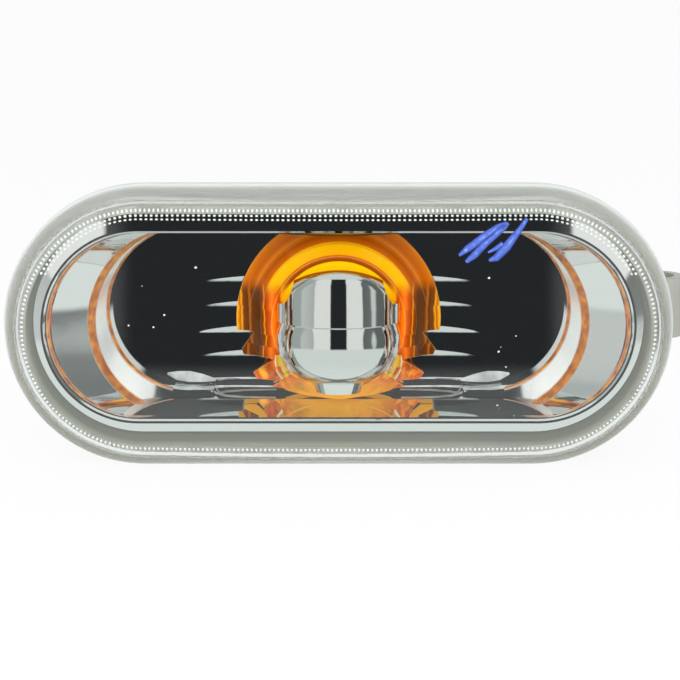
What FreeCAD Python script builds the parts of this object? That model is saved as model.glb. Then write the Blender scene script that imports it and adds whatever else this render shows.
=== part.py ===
import FreeCAD, Part
import math
import os
import Sketcher

# Oval side indicator lamp for a car wing, in millimetres, +Z up, lens facing -Y.
# The origin is the middle of the gasket's rear face, where the lamp seats on the wing.

SIZES = {
    # Clear lens
    "lens_length": 88.0,
    "lens_height": 37.2,
    "lens_front": 12.4,
    "lens_rim_depth": 1.8,
    "lens_side_lean": 2.0,
    "lens_crown_tall": 80.0,
    "lens_crown_long": 300.0,
    "lens_edge_round": 3.4,
    "lens_wall": 2.0,
    "lens_skirt": 1.1,
    "lens_ledge": 1.2,
    "lens_fit": 0.1,
    # Foam gasket
    "gasket_thickness": 1.2,
    "gasket_width": 1.6,
    "gasket_inset": 0.3,
    # Housing
    "flange_thickness": 2.0,
    "housing_wall": 1.6,
    "tub_depth": 13.2,
    "tub_rear_wall": 2.2,
    "tub_end_taper": 4.9,
    "tub_side_room": 0.4,
    "reflector_gap": 0.2,
    "rib_thickness": 1.2,
    "rib_height": 1.2,
    "rib_spacing": 17.0,
    # Hook and sprung loop that grip the wing
    "panel_thickness": 0.8,
    "hook_gap": 0.3,
    "hook_inset": 3.6,
    "hook_depth": 3.6,
    "hook_width": 10.0,
    "hook_lip": 1.0,
    "loop_radius": 4.9,
    "loop_thickness": 1.2,
    "loop_width": 8.0,
    "loop_beyond": 2.3,
    "loop_back": 7.4,
    "loop_lift": 1.3,
    "loop_tip_angle": 58.0,
    # Reflector
    "window_end_rim": 4.4,
    "window_side_rim": 5.2,
    "reflector_rim": 1.2,
    "reflector_rim_end": 1.5,
    "reflector_rim_side": 2.2,
    "rim_crest": 0.3,
    "rim_slope": 0.55,
    "rim_lift": 0.5,
    "reflector_wall": 1.2,
    "reflector_mouth_wall": 0.96,
    "reflector_depth": 9.4,
    "floor_top_draft": 0.8,
    "floor_bottom_draft": 3.2,
    "floor_lift": 1.5,
    "lip_depth": 0.5,
    "lip_chamfer": 0.25,
    "crescent_start_depth": 0.95,
    "crescent_start_inset": 0.8,
    "outer_crescent_depth": 4.0,
    "outer_crescent_inset": 5.3,
    "outer_crescent_swell": 0.3,
    "outer_riser_depth": 5.15,
    "outer_riser_inset": 6.3,
    "inner_crescent_depth": 6.35,
    "inner_crescent_inset": 7.75,
    "inner_crescent_shrink": 1.3,
    "inner_riser_depth": 6.7,
    "inner_riser_inset": 8.05,
    "floor_inset": 8.3,
    "floor_shrink": 1.6,
    "flute_pitch": 3.3,
    "flute_first": 4.2,
    "flute_depth": 0.18,
    "broad_flute_depth": 0.34,
    "broad_flute": 2.0,
    "flute_bow": 2.4,
    "flute_length": 38.0,
    "flute_count": 4.0,
    "flute_skin": 0.2,
    "scoop_length": 33.2,
    "scoop_height": 2.0,
    "scoop_drop": 0.4,
    "scoop_depth": 0.3,
    "bulb_hole_radius": 8.1,
    # Amber filter
    "filter_radius": 13.6,
    "filter_foot": 0.8,
    "filter_middle_radius": 11.8,
    "filter_middle_rise": 2.0,
    "filter_upper_radius": 10.3,
    "filter_upper_rise": 4.4,
    "filter_step": 0.4,
    "filter_front_radius": 8.8,
    "filter_rise": 6.5,
    "filter_wall": 1.5,
    "filter_bore_radius": 6.0,
    "filter_edge_gap": 0.3,
    "notch_first": 3.3,
    "notch_upper_apex": 11.2,
    "notch_middle_apex": 8.4,
    "notch_lower_apex": 7.6,
    "notch_drop": 5.1,
    # Bulb shield
    "shield_top": 7.6,
    "shield_top_half": 5.85,
    "shield_top_edge": 1.6,
    "shield_corner": 5.7,
    "shield_shoulder_half": 6.5,
    "shield_shoulder": 3.9,
    "shield_step_half": 7.1,
    "shield_step": 3.1,
    "shield_band": 2.6,
    "shield_radius": 8.1,
    "shield_lean": 0.45,
    "shield_waist": 0.5,
    "shield_waist_step": 0.4,
    "shield_bowl_round": 5.8,
    "shield_bottom": -7.6,
    "shield_foot_radius": 3.4,
    "shield_foot_tip": 2.9,
    "shield_foot_gap": 3.2,
    "shield_wall": 1.0,
    # Wedge-base bulb
    "bulb_radius": 5.1,
    "bulb_length": 26.0,
    "bulb_tip": 3.0,
    "bulb_glass_wall": 0.7,
    "bulb_neck": 4.6,
    "wedge_width": 9.5,
    "wedge_thickness": 2.3,
    "wedge_length": 6.6,
    "lead_radius": 0.25,
    "lead_fold": 4.6,
    "filament_depth": 8.0,
    "filament_radius": 0.3,
    # Twist-lock bulb holder
    "port_radius": 8.0,
    "port_gap": 0.3,
    "lug_radius": 9.6,
    "lug_thickness": 1.6,
    "lug_gap": 0.2,
    "lug_angle": 28.0,
    "lug_count": 3.0,
    "first_lug_angle": 90.0,
    "notch_angle": 36.0,
    "unlock_angle": 45.0,
    "stop_angle": 6.0,
    "stop_play": 2.0,
    "collar_inner_radius": 10.3,
    "collar_outer_radius": 12.2,
    "collar_height": 1.4,
    "seal_thickness": 1.3,
    "seal_gap": 0.05,
    "holder_flange_radius": 13.0,
    "holder_flange": 2.0,
    "holder_bore_radius": 5.7,
    "wedge_gap": 0.2,
    "contact_pitch": 5.2,
    "contact_width": 2.8,
    "contact_thickness": 0.6,
    "contact_gap": 0.1,
    "contact_flare": 0.5,
    "contact_ramp": 0.75,
    "blade_thickness": 0.8,
    "blade_length": 8.0,
    "socket_width": 18.4,
    "socket_height": 13.4,
    "socket_wall": 1.7,
    "socket_round": 2.4,
    "socket_depth": 9.6,
    "socket_floor": 1.4,
    "wing_reach": 13.0,
    "wing_thickness": 2.4,
    "wing_length": 6.5,
    "latch_width": 4.0,
    "latch_height": 1.0,
    "latch_length": 3.0,
    # How far a cutting tool runs past the face that it cuts
    "cut_margin": 1.0,
}


class Size:
    """A number together with the sheet formula that gives it."""

    def __init__(self, value, formula):
        self.value = value
        self.formula = formula

    def __add__(self, other):
        other = as_size(other)
        return Size(self.value + other.value, f"({self.formula} + {other.formula})")

    def __sub__(self, other):
        other = as_size(other)
        return Size(self.value - other.value, f"({self.formula} - {other.formula})")

    def __mul__(self, other):
        other = as_size(other)
        return Size(self.value * other.value, f"({self.formula} * {other.formula})")

    def __truediv__(self, other):
        other = as_size(other)
        return Size(self.value / other.value, f"({self.formula} / {other.formula})")

    def __neg__(self):
        return Size(-self.value, f"(-1 * {self.formula})")


def as_size(number):
    return number if isinstance(number, Size) else Size(float(number), repr(float(number)))


def cosine(angle):
    return Size(math.cos(math.radians(angle.value)), f"cos({angle.formula})")


def sine(angle):
    return Size(math.sin(math.radians(angle.value)), f"sin({angle.formula})")


def root(size):
    return Size(math.sqrt(size.value), f"sqrt({size.formula})")


doc = FreeCAD.newDocument("indicator_lamp")
sheet = doc.addObject("Spreadsheet::Sheet", "Sizes")


class Sheet:
    """The sheet's sizes by name."""


s = Sheet()
for row, (name, number) in enumerate(SIZES.items(), start=1):
    sheet.set(f"A{row}", name)
    sheet.set(f"B{row}", str(number))
    sheet.setAlias(f"B{row}", name)
    setattr(s, name, Size(number, f"Sizes.{name}"))
doc.recompute()

# Planes across the lamp, as Y values, from front to back
window_plane = -(s.gasket_thickness + s.flange_thickness + s.reflector_rim)
flange_front = -(s.gasket_thickness + s.flange_thickness)
flange_rear = -s.gasket_thickness
filter_front = window_plane + s.reflector_depth - s.filter_rise
reflector_floor = window_plane + s.reflector_depth
reflector_back = reflector_floor + s.reflector_wall
port_front = s.tub_depth - s.tub_rear_wall
lug_back = port_front - s.lug_gap
lug_front = lug_back - s.lug_thickness
collar_back = s.tub_depth + s.collar_height
holder_flange_front = collar_back + s.seal_thickness + s.seal_gap * 2
holder_flange_back = holder_flange_front + s.holder_flange
wedge_end = s.bulb_length - s.bulb_tip
wedge_start = wedge_end - s.wedge_length
lead_end = wedge_end + s.lead_radius
contact_bend = lead_end + s.lead_radius + s.contact_gap
socket_base = contact_bend + s.contact_thickness + s.contact_gap + s.socket_floor
socket_mouth = socket_base + s.socket_depth

# Outlines seen from the front
flange_length = s.lens_length - (s.lens_skirt + s.lens_fit) * 2
flange_height = s.lens_height - (s.lens_skirt + s.lens_fit) * 2
window_length = flange_length - s.window_end_rim * 2
window_height = flange_height - s.window_side_rim * 2
floor_top = window_height / 2 - s.floor_top_draft
floor_bottom = s.floor_bottom_draft - window_height / 2
tub_rear_length = window_length - s.tub_end_taper * 2
tub_rear_height = window_height + s.tub_side_room * 2
contact_x = s.contact_pitch / 2
contact_low = s.wedge_thickness / 2 + s.lead_radius * 2 + s.contact_gap / 2
contact_high = contact_low + s.contact_thickness

FRONT_VIEW = FreeCAD.Rotation(FreeCAD.Vector(1, 0, 0), 90)
ALONG_Y = FreeCAD.Rotation(FreeCAD.Vector(1, 0, 0), -90)
ALONG_X = FreeCAD.Rotation(FreeCAD.Vector(0, 1, 0), 90)
# Numbers by which a sketch knows the points of a curve and its own two axes
START, END, CENTRE = range(1, 4)
X_LINE, Y_LINE = range(-1, -3, -1)


def bind(thing, field, size):
    thing.setExpression(field, as_size(size).formula)


def constrain(sketch, kind, *items):
    """Adds a constraint whose last item is a size, bound to its formula."""
    size = as_size(items[-1])
    index = sketch.addConstraint(Sketcher.Constraint(kind, *items[:-1], size.value))
    sketch.setExpression(f"Constraints[{index}]", size.formula)


def stadium(sketch, length, height):
    """Draws an oval with straight long sides and round ends."""
    radius = height.value / 2
    centre = length.value / 2 - radius
    up = FreeCAD.Vector(0, 0, 1)
    left = Part.Circle(FreeCAD.Vector(-centre, 0, 0), up, radius)
    right = Part.Circle(FreeCAD.Vector(centre, 0, 0), up, radius)
    top_left = FreeCAD.Vector(-centre, radius, 0)
    top_right = FreeCAD.Vector(centre, radius, 0)
    sketch.addGeometry(Part.LineSegment(top_right, top_left))
    sketch.addGeometry(Part.ArcOfCircle(left, math.pi / 2, math.pi * 3 / 2))
    sketch.addGeometry(Part.LineSegment(-top_right, -top_left))
    sketch.addGeometry(Part.ArcOfCircle(right, math.pi * 3 / 2, math.pi * 5 / 2))
    for side in range(4):
        following = (side + 1) % 4
        sketch.addConstraint(Sketcher.Constraint("Tangent", side, END, following, START))
    sketch.addConstraint(Sketcher.Constraint("Equal", 1, 3))
    sketch.addConstraint(Sketcher.Constraint("PointOnObject", 1, CENTRE, X_LINE))
    sketch.addConstraint(Sketcher.Constraint("Symmetric", 1, CENTRE, 3, CENTRE, X_LINE, START))
    constrain(sketch, "Radius", 1, height / 2)
    constrain(sketch, "DistanceX", 1, CENTRE, 3, CENTRE, length - height)


def outline(sketch, corners, arcs=None):
    """Draws a closed outline through corners, with an arc on each side named in arcs.

    An arc is a radius and a turn: 1 bends left on the way to the next corner, -1 right.
    """
    arcs = arcs or {}
    points = [FreeCAD.Vector(as_size(x).value, as_size(y).value, 0) for x, y in corners]
    count = len(points)
    first = sketch.GeometryCount
    starts = []
    for side, point in enumerate(points):
        following = points[(side + 1) % count]
        if side not in arcs:
            sketch.addGeometry(Part.LineSegment(point, following))
            starts.append((START, END))
            continue
        radius, turn = arcs[side]
        chord = following - point
        across = FreeCAD.Vector(-chord.y, chord.x, 0).normalize() * turn
        inward = math.sqrt(max(radius.value**2 - (chord.Length / 2) ** 2, 0.0))
        middle = (point + following) / 2 + across * (inward - radius.value)
        index = sketch.addGeometry(Part.Arc(point, middle, following))
        forward = sketch.getPoint(index, START).isEqual(point, 1e-6)
        starts.append((START, END) if forward else (END, START))
        constrain(sketch, "Radius", index, radius)
    for side, (x, y) in enumerate(corners):
        index = first + side
        following = (side + 1) % count
        ends = (index, starts[side][1], first + following, starts[following][0])
        sketch.addConstraint(Sketcher.Constraint("Coincident", *ends))
        for kind, size, line in (("DistanceX", x, Y_LINE), ("DistanceY", y, X_LINE)):
            if isinstance(size, Size):
                constrain(sketch, kind, index, starts[side][0], size)
            else:
                point = (index, starts[side][0], line)
                sketch.addConstraint(Sketcher.Constraint("PointOnObject", *point))


def box_outline(sketch, left, low, right, high):
    outline(sketch, [(left, low), (right, low), (right, high), (left, high)])


def front_section(name, length, height, plane, lift=None):
    """An oval across the lamp at one Y plane, lifted off the middle where asked."""
    sketch = doc.addObject("Sketcher::SketchObject", name)
    sketch.Placement = FreeCAD.Placement(FreeCAD.Vector(), FRONT_VIEW)
    bind(sketch, "Placement.Base.y", plane)
    if lift is not None:
        bind(sketch, "Placement.Base.z", lift)
    stadium(sketch, length, height)
    return sketch


def loft(name, sections):
    feature = doc.addObject("Part::Loft", name)
    feature.Sections = sections
    feature.Solid = True
    feature.Ruled = True
    return feature


def oval_block(name, length, height, front, back, lift=None):
    """A straight oval block between two Y planes."""
    feature = doc.addObject("Part::Extrusion", name)
    feature.Base = front_section(f"{name}_outline", length, height, front, lift)
    feature.DirMode = "Custom"
    feature.Dir = FreeCAD.Vector(0, 1, 0)
    feature.Solid = True
    bind(feature, "LengthFwd", back - front)
    return feature


def cylinder(name, radius, front, back, angle=None, turn=None):
    """A cylinder, or a slice of one, along Y between two planes."""
    feature = doc.addObject("Part::Cylinder", name)
    feature.Placement = FreeCAD.Placement(FreeCAD.Vector(), ALONG_Y)
    bind(feature, "Radius", radius)
    bind(feature, "Height", back - front)
    bind(feature, "Placement.Base.y", front)
    if angle is not None:
        bind(feature, "Angle", angle)
        # A slice starts at +X and runs towards -Z, so its middle is turned to the wanted angle
        tilt = turn.value + angle.value / 2
        spin = FreeCAD.Rotation(FreeCAD.Vector(0, -1, 0), tilt)
        feature.Placement = FreeCAD.Placement(FreeCAD.Vector(), spin * ALONG_Y)
        bind(feature, "Placement.Base.y", front)
    return feature


def block(name, low, high):
    """A box between two corners, given as sizes."""
    feature = doc.addObject("Part::Box", name)
    for field, axis, start, stop in zip(("Length", "Width", "Height"), "xyz", low, high):
        bind(feature, field, as_size(stop) - start)
        bind(feature, f"Placement.Base.{axis}", start)
    return feature


def prism(name, plane, corners, thickness, arcs=None):
    """An outline in the XY or YZ plane, made thick to both sides of that plane."""
    sketch = doc.addObject("Sketcher::SketchObject", f"{name}_outline")
    if plane == "YZ":
        turn = FreeCAD.Rotation(FreeCAD.Vector(1, 1, 1), 120)
        sketch.Placement = FreeCAD.Placement(FreeCAD.Vector(), turn)
    outline(sketch, corners, arcs)
    feature = doc.addObject("Part::Extrusion", name)
    feature.Base = sketch
    feature.DirMode = "Custom"
    feature.Dir = FreeCAD.Vector(1, 0, 0) if plane == "YZ" else FreeCAD.Vector(0, 0, 1)
    feature.Solid = True
    feature.Symmetric = True
    bind(feature, "LengthFwd", thickness)
    return feature


def fuse(name, shapes):
    feature = doc.addObject("Part::MultiFuse", name)
    feature.Shapes = shapes
    return feature


def cut(name, base, tool):
    feature = doc.addObject("Part::Cut", name)
    feature.Base = base
    feature.Tool = tool
    return feature


def common(name, base, tool):
    feature = doc.addObject("Part::Common", name)
    feature.Base = base
    feature.Tool = tool
    return feature


def body(name):
    return doc.addObject("PartDesign::Body", name)


def body_sketch(owner, name, role, offset=None):
    """A sketch on one of a body's origin planes, moved along the plane's normal."""
    sketch = owner.newObject("Sketcher::SketchObject", name)
    plane = next(item for item in owner.Origin.OriginFeatures if item.Role == role)
    sketch.AttachmentSupport = [(plane, "")]
    sketch.MapMode = "FlatFace"
    if offset is not None:
        bind(sketch, "AttachmentOffset.Base.z", offset)
    return sketch


def revolve(owner, sketch, name, angle=360.0):
    feature = owner.newObject("PartDesign::Revolution", name)
    feature.Profile = sketch
    feature.ReferenceAxis = (sketch, ["V_Axis"])
    feature.Angle = angle
    feature.Midplane = angle < 360.0
    return feature


def pad(owner, sketch, name, length, backwards=False, both_sides=False):
    """Pads forwards, towards the lens, unless told otherwise."""
    feature = owner.newObject("PartDesign::Pad", name)
    feature.Profile = sketch
    feature.Reversed = backwards
    if both_sides:
        feature.SideType = "Symmetric"
    bind(feature, "Length", length)
    return feature


def pocket(owner, sketch, name, length, backwards=False, both_sides=False):
    feature = owner.newObject("PartDesign::Pocket", name)
    feature.Profile = sketch
    feature.Reversed = backwards
    if both_sides:
        feature.SideType = "Symmetric"
    bind(feature, "Length", length)
    return feature


def polar(owner, feature, name, count):
    """Repeats a feature about the lamp's Y axis."""
    axis = next(item for item in owner.Origin.OriginFeatures if item.Role == "Y_Axis")
    pattern = owner.newObject("PartDesign::PolarPattern", name)
    pattern.Originals = [feature]
    pattern.Axis = (axis, [""])
    pattern.Angle = 360
    bind(pattern, "Occurrences", count)
    owner.Tip = pattern
    return pattern


def crowned(name, sides, front, crown_tall, edge_round):
    """An oval block whose front face is crowned both ways and rounded at its edge."""
    crown = doc.addObject("Part::Torus", f"{name}_crown")
    bind(crown, "Radius1", s.lens_crown_long - s.lens_crown_tall)
    bind(crown, "Radius2", crown_tall)
    bind(crown, "Placement.Base.y", s.lens_crown_long - s.lens_crown_tall + crown_tall - front)
    shaped = common(f"{name}_crowned", sides, crown)
    doc.recompute()
    rounded = doc.addObject("Part::Fillet", name)
    rounded.Base = shaped
    front_faces = [face for face in shaped.Shape.Faces if face.Surface.TypeId == "Part::GeomToroid"]
    front_edges = [edge for face in front_faces for edge in face.Edges]
    rounded.Edges = [
        (number, edge_round.value, edge_round.value)
        for number, edge in enumerate(shaped.Shape.Edges, start=1)
        if any(edge.isSame(other) for other in front_edges)
    ]
    return rounded


def make_lens():
    """Clear crowned cover whose skirt drops round the housing's flange."""
    lean_length = s.lens_length - s.lens_side_lean * 2
    lean_height = s.lens_height - s.lens_side_lean * 2
    past_front = -(s.lens_front + s.cut_margin)
    rim_front = flange_rear - s.lens_rim_depth
    leaning_sides = loft(
        "lens_sides",
        [
            front_section("lens_rear", s.lens_length, s.lens_height, flange_rear),
            front_section("lens_rim", s.lens_length, s.lens_height, rim_front),
            front_section("lens_top", lean_length, lean_height, past_front),
        ],
    )
    outside = crowned("lens_outside", leaning_sides, s.lens_front, s.lens_crown_tall, s.lens_edge_round)
    inset = (s.lens_skirt + s.lens_fit + s.lens_ledge) * 2
    straight_sides = oval_block(
        "lens_hollow_sides", s.lens_length - inset, s.lens_height - inset, past_front, flange_front
    )
    inside = crowned(
        "lens_inside",
        straight_sides,
        s.lens_front - s.lens_wall,
        s.lens_crown_tall - s.lens_wall,
        s.lens_edge_round - s.lens_wall,
    )
    rabbet = oval_block(
        "lens_rabbet",
        flange_length + s.lens_fit * 2,
        flange_height + s.lens_fit * 2,
        flange_front,
        flange_rear + s.cut_margin,
    )
    return cut("lens", outside, fuse("lens_hollow", [inside, rabbet]))


def make_gasket():
    """Foam ring on the back of the housing's flange."""
    gasket = body("panel_gasket")
    ring = body_sketch(gasket, "gasket_ring", "XZ_Plane")
    length = flange_length - s.gasket_inset * 2
    height = flange_height - s.gasket_inset * 2
    outer = body_sketch(gasket, "gasket_outer", "XZ_Plane")
    stadium(outer, length, height)
    pad(gasket, outer, "gasket_pad", s.gasket_thickness)
    stadium(ring, length - s.gasket_width * 2, height - s.gasket_width * 2)
    pocket(gasket, ring, "gasket_opening", s.gasket_thickness, backwards=True)
    return gasket


def reflector_cavity():
    """The mirrored hollow: a lip, two sloped crescents with risers at each end, and a flat floor."""
    half = window_height / 2
    outer_round = half + s.outer_crescent_swell
    level = as_size(0)
    steps = [
        (s.lip_depth / 2, s.lip_depth / 2, half, level),
        (s.crescent_start_depth, s.crescent_start_inset, half, level),
        (s.outer_crescent_depth, s.outer_crescent_inset, outer_round, level),
        (s.outer_riser_depth, s.outer_riser_inset, outer_round, level),
        (s.inner_crescent_depth, s.inner_crescent_inset, half - s.inner_crescent_shrink, s.floor_lift),
        (s.inner_riser_depth, s.inner_riser_inset, half - s.inner_crescent_shrink, s.floor_lift),
        (s.reflector_depth, s.floor_inset, half - s.floor_shrink, s.floor_lift),
    ]
    sections = [
        front_section(
            f"cavity_{number}", window_length - inset * 2, radius * 2, window_plane + depth, lift
        )
        for number, (depth, inset, radius, lift) in enumerate(steps, start=1)
    ]
    walls = doc.addObject("Part::Wedge", "cavity_walls")
    bind(walls, "Ymin", window_plane)
    bind(walls, "Ymax", reflector_floor)
    for field, low, high in (("", -half, half), ("2", floor_bottom, floor_top)):
        bind(walls, f"X{field}min", -window_length / 2)
        bind(walls, f"X{field}max", window_length / 2)
        bind(walls, f"Z{field}min", low)
        bind(walls, f"Z{field}max", high)
    lip = oval_block(
        "cavity_lip",
        window_length,
        window_height,
        window_plane,
        window_plane + s.lip_depth,
    )
    chamfer = loft(
        "cavity_chamfer",
        [
            front_section(
                "chamfer_front",
                window_length + s.lip_chamfer * 4,
                window_height + s.lip_chamfer * 4,
                window_plane - s.lip_chamfer,
            ),
            front_section("chamfer_back", window_length, window_height, window_plane + s.lip_chamfer),
        ],
    )
    return fuse("cavity", [common("cavity_ends", loft("cavity_steps", sections), walls), lip, chamfer])


def flute_middle(number):
    """Height of the middle of a flute, counted from the top."""
    return s.flute_first - s.flute_pitch * number


def make_flutes():
    """Long shallow dimples across the floor, each cut no deeper than its own skin of the floor."""
    dimples = []
    for number in range(int(s.flute_count.value)):
        depth = s.broad_flute_depth if number == int(s.broad_flute.value) else s.flute_depth
        # A bowl of this height cuts the floor in an oval whose half axes follow from its cap's depth
        height = depth + s.flute_bow
        share = root(Size(1.0, "1") - (s.flute_bow / height) * (s.flute_bow / height))
        dimple = doc.addObject("Part::Ellipsoid", f"flute_{number}")
        bind(dimple, "Radius1", s.flute_pitch / 2 / share)
        bind(dimple, "Radius2", s.flute_length / 2 / share)
        bind(dimple, "Radius3", height)
        bind(dimple, "Placement.Base.y", reflector_floor - s.flute_bow)
        bind(dimple, "Placement.Base.z", flute_middle(number))
        dimples.append(dimple)
    reach = s.flute_length
    skin = block(
        "flute_skin",
        (-reach, reflector_floor - s.flute_skin, -window_height),
        (reach, reflector_back, window_height),
    )
    return common("flutes", fuse("flute_dimples", dimples), skin)


def make_reflector():
    """Metallised insert that rests with its rim on the housing's flange."""
    front_length = window_length - s.crescent_start_inset * 2 + s.reflector_wall
    front_height = window_height + s.reflector_mouth_wall * 2
    back_length = window_length - s.floor_inset * 2 + s.reflector_wall * 3
    back_top = floor_top + s.reflector_wall
    back_bottom = floor_bottom - s.reflector_wall * 1.5
    back_height = back_top - back_bottom
    back_lift = (back_top + back_bottom) / 2
    bowl = loft(
        "reflector_bowl",
        [
            front_section("bowl_front", front_length, front_height, flange_front),
            front_section("bowl_back", back_length, back_height, reflector_back, back_lift),
        ],
    )
    rim_length = window_length + s.reflector_rim_end * 2
    rim_height = window_height + s.reflector_rim_side * 2
    crest = (s.lip_chamfer + s.rim_crest) * 2
    slope_back = window_plane + s.rim_slope
    rim = oval_block("reflector_rim", rim_length, rim_height, slope_back, flange_front, s.rim_lift)
    rim_face = loft(
        "reflector_rim_face",
        [
            front_section("rim_crest_line", window_length + crest, window_height + crest, window_plane),
            front_section("rim_edge_line", rim_length, rim_height, slope_back, s.rim_lift),
        ],
    )
    scoop = oval_block(
        "corner_scoop",
        s.scoop_length,
        s.scoop_height,
        window_plane,
        reflector_floor + s.scoop_depth,
        floor_bottom - s.scoop_drop,
    )
    bulb_hole = cylinder(
        "bulb_hole", s.bulb_hole_radius, reflector_floor - s.cut_margin, reflector_back + s.cut_margin
    )
    tools = fuse("reflector_tools", [reflector_cavity(), bulb_hole, make_flutes(), scoop])
    solid = fuse("reflector_solid", [bowl, rim, rim_face])
    return cut("reflector", solid, tools), front_length, front_height


def make_housing(opening_length, opening_height):
    """Moulded body: flange, tub, bulb port, hook and sprung loop."""
    gap = s.reflector_gap * 2
    wall = s.housing_wall * 2
    margin_front = flange_front - s.cut_margin
    flange = oval_block("flange", flange_length, flange_height, flange_front, flange_rear)
    tub = loft(
        "tub_outside",
        [
            front_section(
                "tub_front", opening_length + gap + wall / 2, opening_height + gap + wall, flange_rear
            ),
            front_section(
                "tub_rear", tub_rear_length + wall, tub_rear_height + wall, s.tub_depth
            ),
        ],
    )
    hollow = loft(
        "tub_inside",
        [
            front_section("tub_mouth", opening_length + gap, opening_height + gap, flange_front),
            front_section("tub_floor", tub_rear_length, tub_rear_height, port_front),
        ],
    )
    mouth = oval_block(
        "tub_mouth_cut", opening_length + gap, opening_height + gap, margin_front, flange_front
    )
    collar = cylinder("collar", s.collar_outer_radius, s.tub_depth, collar_back)
    collar_cut = cylinder(
        "collar_cut", s.collar_inner_radius, s.tub_depth, collar_back + s.cut_margin
    )
    ribs = [
        block(
            f"rib_{side}",
            (sign * s.rib_spacing - s.rib_thickness / 2, s.tub_depth - s.cut_margin,
             -tub_rear_height / 2),
            (sign * s.rib_spacing + s.rib_thickness / 2, s.tub_depth + s.rib_height,
             tub_rear_height / 2),
        )
        for side, sign in (("left", as_size(-1)), ("right", as_size(1)))
    ]
    hook_front = s.panel_thickness + s.hook_gap
    hook_root = -tub_rear_length / 2
    hook_tip = s.hook_inset - s.lens_length / 2
    hook = prism(
        "hook",
        "XY",
        [
            (hook_root, hook_front),
            (hook_tip, hook_front),
            (hook_tip, hook_front + s.hook_lip),
            (hook_root, hook_front + s.hook_depth),
        ],
        s.hook_width,
    )
    outside = fuse("housing_outside", [flange, tub, collar, *ribs, hook])
    port = cylinder("port", s.port_radius, port_front - s.cut_margin, s.tub_depth + s.cut_margin)
    stop_bore = cylinder(
        "port_stop_bore", s.port_radius + s.port_gap, lug_front - s.cut_margin, s.tub_depth
    )
    notches = []
    stops = []
    stop_offset = s.lug_angle / 2 + s.stop_play + s.stop_angle / 2
    for number in range(int(s.lug_count.value)):
        lug_turn = s.first_lug_angle + as_size(360) / s.lug_count * number
        entry = lug_turn - s.unlock_angle
        notches.append(
            cylinder(
                f"port_notch_{number}",
                s.lug_radius + s.port_gap,
                port_front - s.cut_margin,
                s.tub_depth + s.cut_margin,
                s.notch_angle,
                entry,
            )
        )
        for end, turn in (("rest", lug_turn + stop_offset), ("open", entry - stop_offset)):
            stops.append(
                cylinder(
                    f"port_stop_{end}_{number}",
                    s.lug_radius,
                    lug_front,
                    port_front,
                    s.stop_angle,
                    turn,
                )
            )
    cuts = fuse("housing_cuts", [hollow, mouth, collar_cut, port, *notches])
    shell = cut("housing_shell", outside, cuts)
    blocks = cut("port_stops", fuse("port_stop_slices", stops), stop_bore)
    return fuse("housing", [shell, make_loop(), blocks])


def make_loop():
    """Sprung loop that pushes the lamp towards its hook, open at its front end."""
    outer = s.loop_radius + s.loop_thickness / 2
    inner = s.loop_radius - s.loop_thickness / 2
    centre_x = s.lens_length / 2 + s.loop_beyond - outer
    tip = s.loop_tip_angle
    ring = doc.addObject("Part::Cylinder", "loop_ring")
    core = doc.addObject("Part::Cylinder", "loop_core")
    for feature, radius in ((ring, outer), (core, inner)):
        bind(feature, "Radius", radius)
        bind(feature, "Height", s.loop_width)
        bind(feature, "Placement.Base.x", centre_x)
        bind(feature, "Placement.Base.y", s.loop_back)
        bind(feature, "Placement.Base.z", s.loop_lift - s.loop_width / 2)
    gap = prism(
        "loop_gap",
        "XY",
        [
            (centre_x, s.loop_back),
            (centre_x + outer * 2 * cosine(tip), s.loop_back - outer * 2 * sine(tip)),
            (centre_x - outer * 2, s.loop_back - outer * 2 * sine(tip)),
            (centre_x - outer * 2, s.loop_back),
        ],
        s.loop_width * 2,
    )
    return cut("loop", ring, fuse("loop_tools", [core, gap]))


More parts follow.
